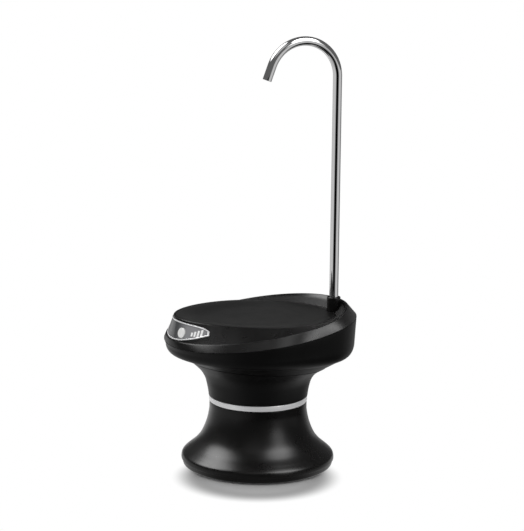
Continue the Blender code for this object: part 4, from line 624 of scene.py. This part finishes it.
carve(bowl, rounded_slot("port_way", PORT_WIDTH, PORT_HEIGHT, PORT_DEPTH, (0, PORT_INNER_END, PORT_LEVEL)))
dress(bowl, "head", matte_black, ["head_bowl"])

# %% [markdown]
# ## The top cover
#
# The cover carries the picture's strongest lines. A bevelled band climbs from the rim to the
# crest, a ledge a millimetre wide runs along the crest, and from there a ruled wall leans in to
# the lip round the tray: steep at the front, nearly flat at the sides, and the inner face of the
# rim at the back. Inside the lip is the recess that the tray lies in.

# %% Cover
TRAY_FLOOR, RECESS = 0.1346, 0.0018
LEDGE_WIDTH, LIP_WIDTH, DECK_THICKNESS, DECK_INSET, COVER_GAP = 0.0010, 0.0013, 0.0022, 0.0040, 0.0003
FLAT_SHARE = 0.60
DISH_SHARES = np.array([FLAT_SHARE, 0.68, 0.76, 0.82, 0.88, 0.94, 1.0])


def dish(loop, drop=0.0):
    """A loop drawn in to shares of its size. Its level goes from the loop's own to the flat
    floor by the smooth step 3s squared less 2s cubed of how far out it is."""
    shares = DISH_SHARES[:, None, None]
    ramp = (shares - FLAT_SHARE) / (1 - FLAT_SHARE)
    ramp = ramp * ramp * (3 - 2 * ramp)
    middle = np.array([0, LIP[2], 0])
    drawn = middle + (loop - middle) * np.concatenate((shares, shares, np.ones_like(shares)), axis=-1)
    drawn[..., 2] = TRAY_FLOOR + (loop[:, 2] - TRAY_FLOOR) * ramp[..., 0] - drop
    return drawn


def centre_row(level):
    """The pole in the middle of a dish: every point of its row is the same."""
    return np.broadcast_to(np.array([0, LIP[2], level]), (1, len(AROUND), 3))


def ledge_line(turn=AROUND):
    """The inner edge of the ledge that runs along the crest."""
    return egg(CREST, LEDGE_WIDTH, turn=turn)


recess_edge = egg(LIP, LIP_WIDTH)
recess_floor = dish(recess_edge, RECESS)
face = np.stack((recess_floor[-1], recess_edge, egg(LIP), ledge_line(), egg(CREST),
                 egg(RIM, 0, COVER_GAP), egg(RIM, BOWL_WALL, COVER_GAP)))
face = soften(face, [0, .0003, .0007, .00025, .0004, .0002, 0], 6)
deck = RECESS + DECK_THICKNESS
rows = np.concatenate((centre_row(TRAY_FLOOR - RECESS), recess_floor, face[1:],
                       dish(egg(LIP, DECK_INSET), deck)[::-1], centre_row(TRAY_FLOOR - deck)))
cover = skin("cover_moulding", rows)
print("Cover rows:", rows.shape)

# %% [markdown]
# ## The panel's place
#
# The control panel lies in the front wall and follows its curve, so its outline is drawn on the
# wall itself: a turn says how far round, and a share says how far up from ledge to lip.

# %% Places on the front wall
PANEL_HALF_TURN = math.radians(40)
PANEL_BOTTOM_SHARES, PANEL_TOP_SHARES = (0.03, 0.41), (0.90, 0.09, 0.16)
BUTTON_TURN, BUTTON_SHARE = np.array([math.radians(14.6)]), 0.42
PANEL_COLUMNS, SMALL_STEP = 61, 0.001


def wall_point(turn, share):
    """A share of the way up the straight line from the ledge to the lip at a turn."""
    share = np.asarray(share, float)[..., None]
    return between(ledge_line(turn), egg(LIP, turn=turn), share)


def wall_outward(turn, share):
    """The direction square to the wall: the cross product of a step round it and a step up."""
    along = wall_point(turn + SMALL_STEP, share) - wall_point(turn - SMALL_STEP, share)
    return unit(np.cross(along, egg(LIP, turn=turn) - ledge_line(turn)))


def panel_lines(grow):
    """The panel's lower and upper edge, as shares of the wall. The lower one rises with the
    square of the reach. The upper one falls with it and with the reach's twelfth power, which
    tells only at the very ends. Growing moves all of the outline out by a true length."""
    at_step, at_front = (wall_point(np.array([turn]), 0.5) for turn in (SMALL_STEP, 0.0))
    half = PANEL_HALF_TURN + grow * SMALL_STEP / np.linalg.norm(at_step - at_front)
    turn = np.linspace(-half, half, PANEL_COLUMNS)
    reach = np.clip(np.abs(turn) / PANEL_HALF_TURN, 0, 1)
    margin = grow / np.linalg.norm(egg(LIP, turn=turn) - ledge_line(turn), axis=-1)
    low = PANEL_BOTTOM_SHARES[0] + PANEL_BOTTOM_SHARES[1] * reach ** 2 - margin
    high = (PANEL_TOP_SHARES[0] - PANEL_TOP_SHARES[1] * reach ** 2 - PANEL_TOP_SHARES[2] * reach ** 12
            + margin)
    return turn, low, high


def panel_rows(grow, proud, rows=9):
    """A grid over the panel, grown past its outline and raised off the wall."""
    turn, low, high = panel_lines(grow)
    share = between(low, high, np.linspace(0, 1, rows)[:, None])
    turn = np.broadcast_to(turn, share.shape)
    return wall_point(turn, share) + wall_outward(turn, share) * proud


def panel_loop(grow, proud):
    """The panel's outline as one closed line of points, lower edge first."""
    grid = panel_rows(grow, proud, 5)
    line = np.concatenate((grid[0], grid[1:-1, -1], grid[-1, ::-1], grid[-2:0:-1, 0]))
    return soften(line, 0.0008, 3, loop=True)


button_out = Vector(wall_outward(BUTTON_TURN, BUTTON_SHARE)[0])
button_along = Vector((0, 0, 1)).cross(button_out).normalized()
button_axes = Matrix((button_along, button_out.cross(button_along), button_out)).transposed().to_4x4()
BUTTON_PLACE = Matrix.Translation(Vector(wall_point(BUTTON_TURN, BUTTON_SHARE)[0])) @ button_axes
print("The button's middle is at", tuple(round(x, 4) for x in BUTTON_PLACE.translation))

# %% [markdown]
# The cover is now cut for the panel and for the spout's socket, and gets its finish. The first
# cutter is a plate that follows the wall and the second a straight round plug.

# %% Holes in the cover
def plate(name, top, bottom):
    """A thin closed plate between two matching grids, with its four edges walled."""
    rows, columns = top.shape[:2]
    flat = grid_faces(rows, columns, loop_columns=False)
    count = rows * columns
    index = np.arange(count).reshape(rows, columns)
    rim_line = np.concatenate((index[0, :-1], index[:-1, -1], index[-1, :0:-1], index[:0:-1, 0]))
    after = np.roll(rim_line, -1)
    walls = np.stack((rim_line, after, after + count, rim_line + count), axis=-1)
    return make_mesh(name, np.concatenate((top.reshape(-1, 3), bottom.reshape(-1, 3))),
                     np.concatenate((flat, flat[:, ::-1] + count, walls)))


PLUG_SIDES, PLUG_LOW, PLUG_HIGH = 48, 0.1200, 0.1500
SPOUT_Y, SOCKET_RADIUS, SOCKET_GAP = 0.0715, 0.0060, 0.0003
PANEL_GAP, POCKET_DEPTH, CUTTER_PROUD = 0.0003, 0.0012, 0.002


def plug(name, radius, low, high, place):
    """A straight round cutter between two levels of a place's own z axis."""
    item = skin(name, revolve([(0, low), (radius, low), (radius, high), (0, high)], PLUG_SIDES))
    item.data.transform(place)
    return item


spout_place = Matrix.Translation((0, SPOUT_Y, 0))

pocket = plate("pocket", panel_rows(PANEL_GAP, CUTTER_PROUD), panel_rows(PANEL_GAP, -POCKET_DEPTH))
carve(cover, pocket, plug("socket_way", SOCKET_RADIUS + SOCKET_GAP, PLUG_LOW, PLUG_HIGH, spout_place))
dress(cover, "head", cover_black, ["top_cover"])

# %% [markdown]
# ## The tray
#
# The tray is a shallow dish in the same plastic. Its edge lies just inside the lip, its floor is
# flat where a cup stands, and a round notch at the back lets it lift past the socket. It is the
# cover's dish once more, so the same function draws its upper and its lower face.

# %% Tray
TRAY_INSET, TRAY_THICKNESS, NOTCH_GAP = 0.0016, 0.0015, 0.0006

tray_edge = egg(LIP, TRAY_INSET)
top_rows, low_rows = dish(tray_edge), dish(tray_edge, TRAY_THICKNESS)[::-1]
side = soften(np.stack((top_rows[-2], top_rows[-1], low_rows[0], low_rows[1])), 0.0005)
rows = np.concatenate((centre_row(TRAY_FLOOR), top_rows[:-1], side[1:-1], low_rows[1:],
                       centre_row(TRAY_FLOOR - TRAY_THICKNESS)))
tray = skin("tray_moulding", rows)
carve(tray, plug("tray_notch", SOCKET_RADIUS + NOTCH_GAP, PLUG_LOW, PLUG_HIGH, spout_place))
dress(tray, "tray", tray_black, ["drip_tray"])

# %% [markdown]
# ## The control panel
#
# A bright frame a little over a millimetre wide runs round a smoked window. The frame's section
# is a small rectangle with eased edges, carried along the outline. The window fills it, and four
# plain level bars are printed on its face. They could be drawn in the window's material, but thin
# plates that follow the wall keep their edges crisp from close by.

# %% Frame, window and marks
FRAME_WIDTH, FRAME_PROUD, FRAME_DEPTH, WINDOW_INSET = 0.0012, 0.0003, 0.0009, 0.0015
BUTTON_WAY, WAY_REACH = 0.0048, 0.002
BAR_TURNS, BAR_TOPS = np.radians([24.5, 27.2, 29.9, 32.6]), [0.52, 0.58, 0.64, 0.70]
BAR_WIDTH, BAR_FOOT, BAR_LEAN, BAR_PROUD, BAR_DEPTH = math.radians(1.7), 0.34, 0.06, 0.00012, 0.0003

section = soften(np.stack([panel_loop(0, FRAME_PROUD), panel_loop(-FRAME_WIDTH, FRAME_PROUD),
                           panel_loop(-FRAME_WIDTH, -FRAME_DEPTH), panel_loop(0, -FRAME_DEPTH)]),
                 0.0002, 3, loop=True)
dress(skin("panel_bezel", section, True), "head", silver, ["panel_frame"])

pane = plate("panel_window", panel_rows(-WINDOW_INSET, 0), panel_rows(-WINDOW_INSET, -FRAME_DEPTH))
carve(pane, plug("button_way", BUTTON_WAY, -WAY_REACH, WAY_REACH, BUTTON_PLACE))
dress(pane, "head", window, ["panel_lens"])


def level_bar(name, turn, top):
    """A small plate on the wall, from the bars' foot up to its own top. It leans: the turn of a
    point grows by the lean times the share that it is higher than the foot."""
    u, v = np.meshgrid(np.linspace(turn, turn + BAR_WIDTH, 5), np.linspace(BAR_FOOT, top, 4))
    u = u + BAR_LEAN * (v - BAR_FOOT)
    base, out = wall_point(u, v), wall_outward(u, v)
    return plate(name, base + out * BAR_PROUD, base - out * BAR_DEPTH)


for number, (turn, top) in enumerate(zip(BAR_TURNS, BAR_TOPS), 1):
    dress(level_bar(f"level_mark_{number}", turn, top), "head", mark_white)

# %% [markdown]
# The button is a white cap with a softly domed edge and a fine ring pressed into its face. Behind
# the window it widens to a flange, and a short stem reaches in to the switch. It is turned about
# its own axis and then set square to the wall, which is simpler than turning it in its place.

# %% Button
BUTTON_SIDES = 64

cap_line = soften([(0, 0.0006), (0.0026, 0.0006), (0.0028, 0.00042), (0.0030, 0.0006),
                   (0.0045, 0.00055), (0.0045, -0.0012), (0.0052, -0.0012), (0.0052, -0.0020),
                   (0.0014, -0.0020), (0.0014, -0.0036), (0, -0.0036)],
                  [0, .0001, .0001, .0001, .0005, .0001, .0001, .0001, .0001, .0001, 0])
cap = skin("button_cap", revolve(cap_line, BUTTON_SIDES))
cap.data.transform(BUTTON_PLACE)
dress(cap, "button", white_plastic, ["power_button"])

# %% [markdown]
# ## The spout
#
# The spout is one length of tube. It stands straight up, goes round a bend a little short of a
# half circle, and ends in a plain cut tip. Its path is made of two straights and an arc, and the
# tube is a ring carried along it, with the bore's ring joined to it at both ends. A curve with a
# round bevel is quicker to draw, but it has neither a bore nor an eased tip.

# %% Spout
BEND_LEVEL, BEND_RADIUS, BEND_TURN, TIP_LENGTH = 0.3427, 0.0318, math.radians(159.5), 0.0132
TUBE_FOOT, TUBE_RADIUS, TUBE_BORE, TUBE_SIDES = 0.12445, 0.0040, 0.0034, 48


def spout_path():
    """Points and directions: up, then y by the cosine and z by the sine of the turn, then
    straight on along the last direction."""
    turn = np.linspace(0, BEND_TURN, 73)
    rise = np.linspace(TUBE_FOOT, BEND_LEVEL, 12)[:-1]
    up = np.stack((np.full_like(rise, SPOUT_Y), rise), axis=-1)
    bend = np.stack((SPOUT_Y - BEND_RADIUS + BEND_RADIUS * np.cos(turn),
                     BEND_LEVEL + BEND_RADIUS * np.sin(turn)), axis=-1)
    ahead = np.array([-math.sin(BEND_TURN), math.cos(BEND_TURN)])
    tip = bend[-1] + np.outer([0.5, 1.0], ahead * TIP_LENGTH)
    way = np.concatenate((np.tile([0.0, 1.0], (len(up), 1)),
                          np.stack((-np.sin(turn), np.cos(turn)), axis=-1), np.tile(ahead, (2, 1))))
    return np.concatenate((up, bend, tip)), way


def tube_rows(radius):
    """Rings square to the path: each point lies at the radius, its cosine part across the
    path in its own plane and its sine part along x."""
    path, way = spout_path()
    turn = np.linspace(0, 2 * math.pi, TUBE_SIDES, endpoint=False)
    y = path[:, :1] + radius * np.cos(turn) * way[:, 1:]
    z = path[:, 1:] - radius * np.cos(turn) * way[:, :1]
    return np.stack((np.broadcast_to(radius * np.sin(turn), y.shape), y, z), axis=-1)


outer, inner = tube_rows(TUBE_RADIUS), tube_rows(TUBE_BORE)[::-1]
mouth = soften(np.stack((outer[-2], outer[-1], inner[0], inner[1])), 0.0002, 3)
rows = np.concatenate((outer[:-1], mouth[1:-1], inner[1:]))
dress(skin("bent_tube", rows, True), "spout", chrome, ["spout_tube"])

# %% [markdown]
# The socket is the black boss that the tube stands in. Only its upper part shows, so the barb
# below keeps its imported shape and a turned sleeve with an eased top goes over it.

# %% Socket
BOSS_BORE, BOSS_FOOT, BOSS_TOP, BOSS_SIDES = 0.0043, 0.1300, 0.1465, 96

boss_line = soften([(BOSS_BORE, BOSS_FOOT), (BOSS_BORE, BOSS_TOP), (SOCKET_RADIUS, BOSS_TOP),
                    (SOCKET_RADIUS, BOSS_FOOT)], [0, .0004, .0007, 0], 5)
boss = skin("spout_boss", revolve(boss_line, BOSS_SIDES, (0, SPOUT_Y)), True)
dress(boss, "head", gloss_black)

# %% [markdown]
# ## Floor and light
#
# The floor is plain and pale, and the camera sees nothing else behind the object. Round the foot
# it is a real grey surface that takes the soft shadow; the grey is painted shade that deepens that
# shadow. A few centimetres further out it turns into an even white for the camera, so that no horizon
# shows.
#
# Glossy black shows little but what it mirrors, so the floor has a second look for mirrored rays
# alone: a patch of light round the foot, some light on the left and at the rear further out, and
# far off a low ring of light with dim places. Real cards set up round the object would do the
# same, but a few angles and distances are quicker to change than the places of cards.

# %% Floor
CAMERA_SIDE = Vector((backward.x, backward.y, 0)).normalized()
FLOOR_HALF, FLOOR_LEVEL, SHADOW_SHIFT, WHITE_FROM = 14, -0.0002, 0.040, (0.042, 0.076)
LOW_LIGHT, NEAR_LIGHT, SIDE_LIGHT, FRONT_LOSS = 0.60, 0.65, 0.5, 0.7
NEAR_ENDS, FAR_BEGINS = (0.10, 0.19), (0.35, 0.70)
# Sides of the floor: a bearing, and the two cosines that a side begins and is full at.
LEFT, REAR, FRONT = (-90, -0.1, 0.8), (180, 0.3, 0.9), (0, 0.5, 0.95)
# Where the low ring is dim: the same, and the share of its light that it loses there.
DIM_PLACES = [(0, 0.68, 0.96, 1.0), (118, 0.90, 0.98, 0.7), (180, 0.80, 0.95, 0.6)]


def bearing(turn, height):
    """The direction a turn to the right of the camera's side and a height above the level, both
    in degrees."""
    turn, height = math.radians(turn), math.radians(height)
    side = Vector((0, 0, 1)).cross(CAMERA_SIDE)
    level = CAMERA_SIDE * math.cos(turn) + side * math.sin(turn)
    return level * math.cos(height) + Vector((0, 0, math.sin(height)))


def facing(graph, direction, turn, height=0):
    """How squarely a direction points along a bearing: the cosine of the angle between them."""
    return graph.vector("DOT_PRODUCT", direction, tuple(bearing(turn, height)))


def low_ring(graph, direction):
    """The light from far off and low: the full level all round, less a share at each dim place."""
    light = LOW_LIGHT
    for turn, begin, full, share in DIM_PLACES:
        light = light * (1 - share * facing(graph, direction, turn).ramp(begin, full))
    return light


# The floor's grey colour is painted shade: it shows only in the patch round the foot, set towards the
# camera, and darkens the shadow there.
ground = Finish("studio_floor", (0.56, 0.56, 0.56), 0.9, Specular_IOR_Level=0.0)
spot = ground.place()
toward, away = ground.vector("NORMALIZE", spot), ground.vector("LENGTH", spot)
off_shadow = ground.vector("LENGTH", ground.vector("SUBTRACT", spot, tuple(CAMERA_SIDE * SHADOW_SHIFT)))
seen, mirrored, seen_through = (ground.node("ShaderNodeLightPath", output=label)
                                for label in ("Is Camera Ray", "Is Glossy Ray", "Is Transmission Ray"))
white = off_shadow.ramp(*WHITE_FROM) * (seen + seen_through)

near, far = 1 - away.ramp(*NEAR_ENDS), away.ramp(*FAR_BEGINS)
left, rear, front = (facing(ground, toward, turn).ramp(begin, full) for turn, begin, full in
                     (LEFT, REAR, FRONT))
round_about = (far * low_ring(ground, toward) + (1 - far) * (1 - near) * SIDE_LIGHT * (left + rear)
               + near * NEAR_LIGHT * (1 - FRONT_LOSS * front))

glow = ground.node("ShaderNodeEmission", sockets={"Color": white + mirrored * round_about, "Strength": 1.0})
plain = Value(ground, ground.shader.outputs[0])
mixed = ground.node("ShaderNodeMixShader", sockets={0: white + mirrored, 1: plain, 2: glow})
ground.feed(ground.tree.nodes["Material Output"].inputs[0], mixed)
corners = [(x * FLOOR_HALF, y * FLOOR_HALF, FLOOR_LEVEL) for x, y in ((-1, -1), (1, -1), (1, 1), (-1, 1))]
floor = make_mesh("studio_floor", corners, np.array([[0, 1, 2, 3]]))
floor.data.materials.append(ground.material)
print("Floor is", floor.dimensions.x, "m wide")

# %% [markdown]
# The world is what lies above the floor. The camera sees plain white there and dull surfaces get
# an even light, but mirrored rays find a dim studio with four soft panels in it. Each panel is
# round and has a bearing and a height, the angles from its middle at which it begins to fade and
# ends, and a level. Panels in the world's nodes leave no square outline in a curved black wall.
#
# Two lamps add what the world can't. A softbox high up behind lights the dull parts, and a long
# low card on the right draws the streak of light on the bevelled band. The card would spoil the
# dark lines in the tube, so light linking lets it reach the cover alone.

# %% World and lamps
HIGH_LIGHT, EVEN_LIGHT = 0.12, 0.90
SOFT_PANELS = [(-103, 50, 6, 26, 9.5), (56, 50, 6, 24, 8.0), (46, 20, 4, 18, 2.5), (-10, 46, 5, 22, 0.45)]

world = bpy.data.worlds.new("studio")
bpy.context.scene.world = world
world.use_nodes = True
world.node_tree.nodes.clear()
sky = Graph(world.node_tree)
heading = sky.node("ShaderNodeTexCoord", output="Generated")
studio = HIGH_LIGHT
for turn, height, inner, outer, level in SOFT_PANELS:
    begin, full = math.cos(math.radians(outer)), math.cos(math.radians(inner))
    studio = studio + level * facing(sky, heading, turn, height).ramp(begin, full)
camera_ray, glossy_ray = (sky.node("ShaderNodeLightPath", output=label)
                          for label in ("Is Camera Ray", "Is Glossy Ray"))
sky_light = camera_ray + glossy_ray * studio + (1 - camera_ray - glossy_ray) * EVEN_LIGHT
backdrop = sky.node("ShaderNodeBackground", sockets={"Color": sky_light, "Strength": 1.0})
sky.node("ShaderNodeOutputWorld", sockets={"Surface": backdrop})


def lamp(name, turn, height, away, size, power, aim):
    """A soft lamp, so wide and so tall, that looks at its aim from a bearing some way off."""
    light = bpy.data.lights.new(name, "AREA")
    light.shape, light.energy = "RECTANGLE", power
    light.size, light.size_y = size
    item = bpy.data.objects.new(name, light)
    bpy.context.scene.collection.objects.link(item)
    out = bearing(turn, height)
    item.matrix_world = (Matrix.Translation(Vector(aim) + out * away)
                         @ out.to_track_quat("Z", "Y").to_matrix().to_4x4())
    return item


lamp("back_softbox", 165, 62, 1.6, (0.5, 0.5), 8, (0, 0, 0.08)).visible_glossy = False
rim_card = lamp("rim_card", 80, -6.0, 0.75, (0.72, 0.10), 1.7, (0, 0, 0.13))
only_cover = bpy.data.collections.new("rim_card_lights")
only_cover.objects.link(cover)
rim_card.light_linking.receiver_collection = only_cover

# %% [markdown]
# ## Last things
#
# The picture keeps plain colours, so the Standard view is set.

# %% Finish
bpy.context.scene.view_settings.view_transform = "Standard"
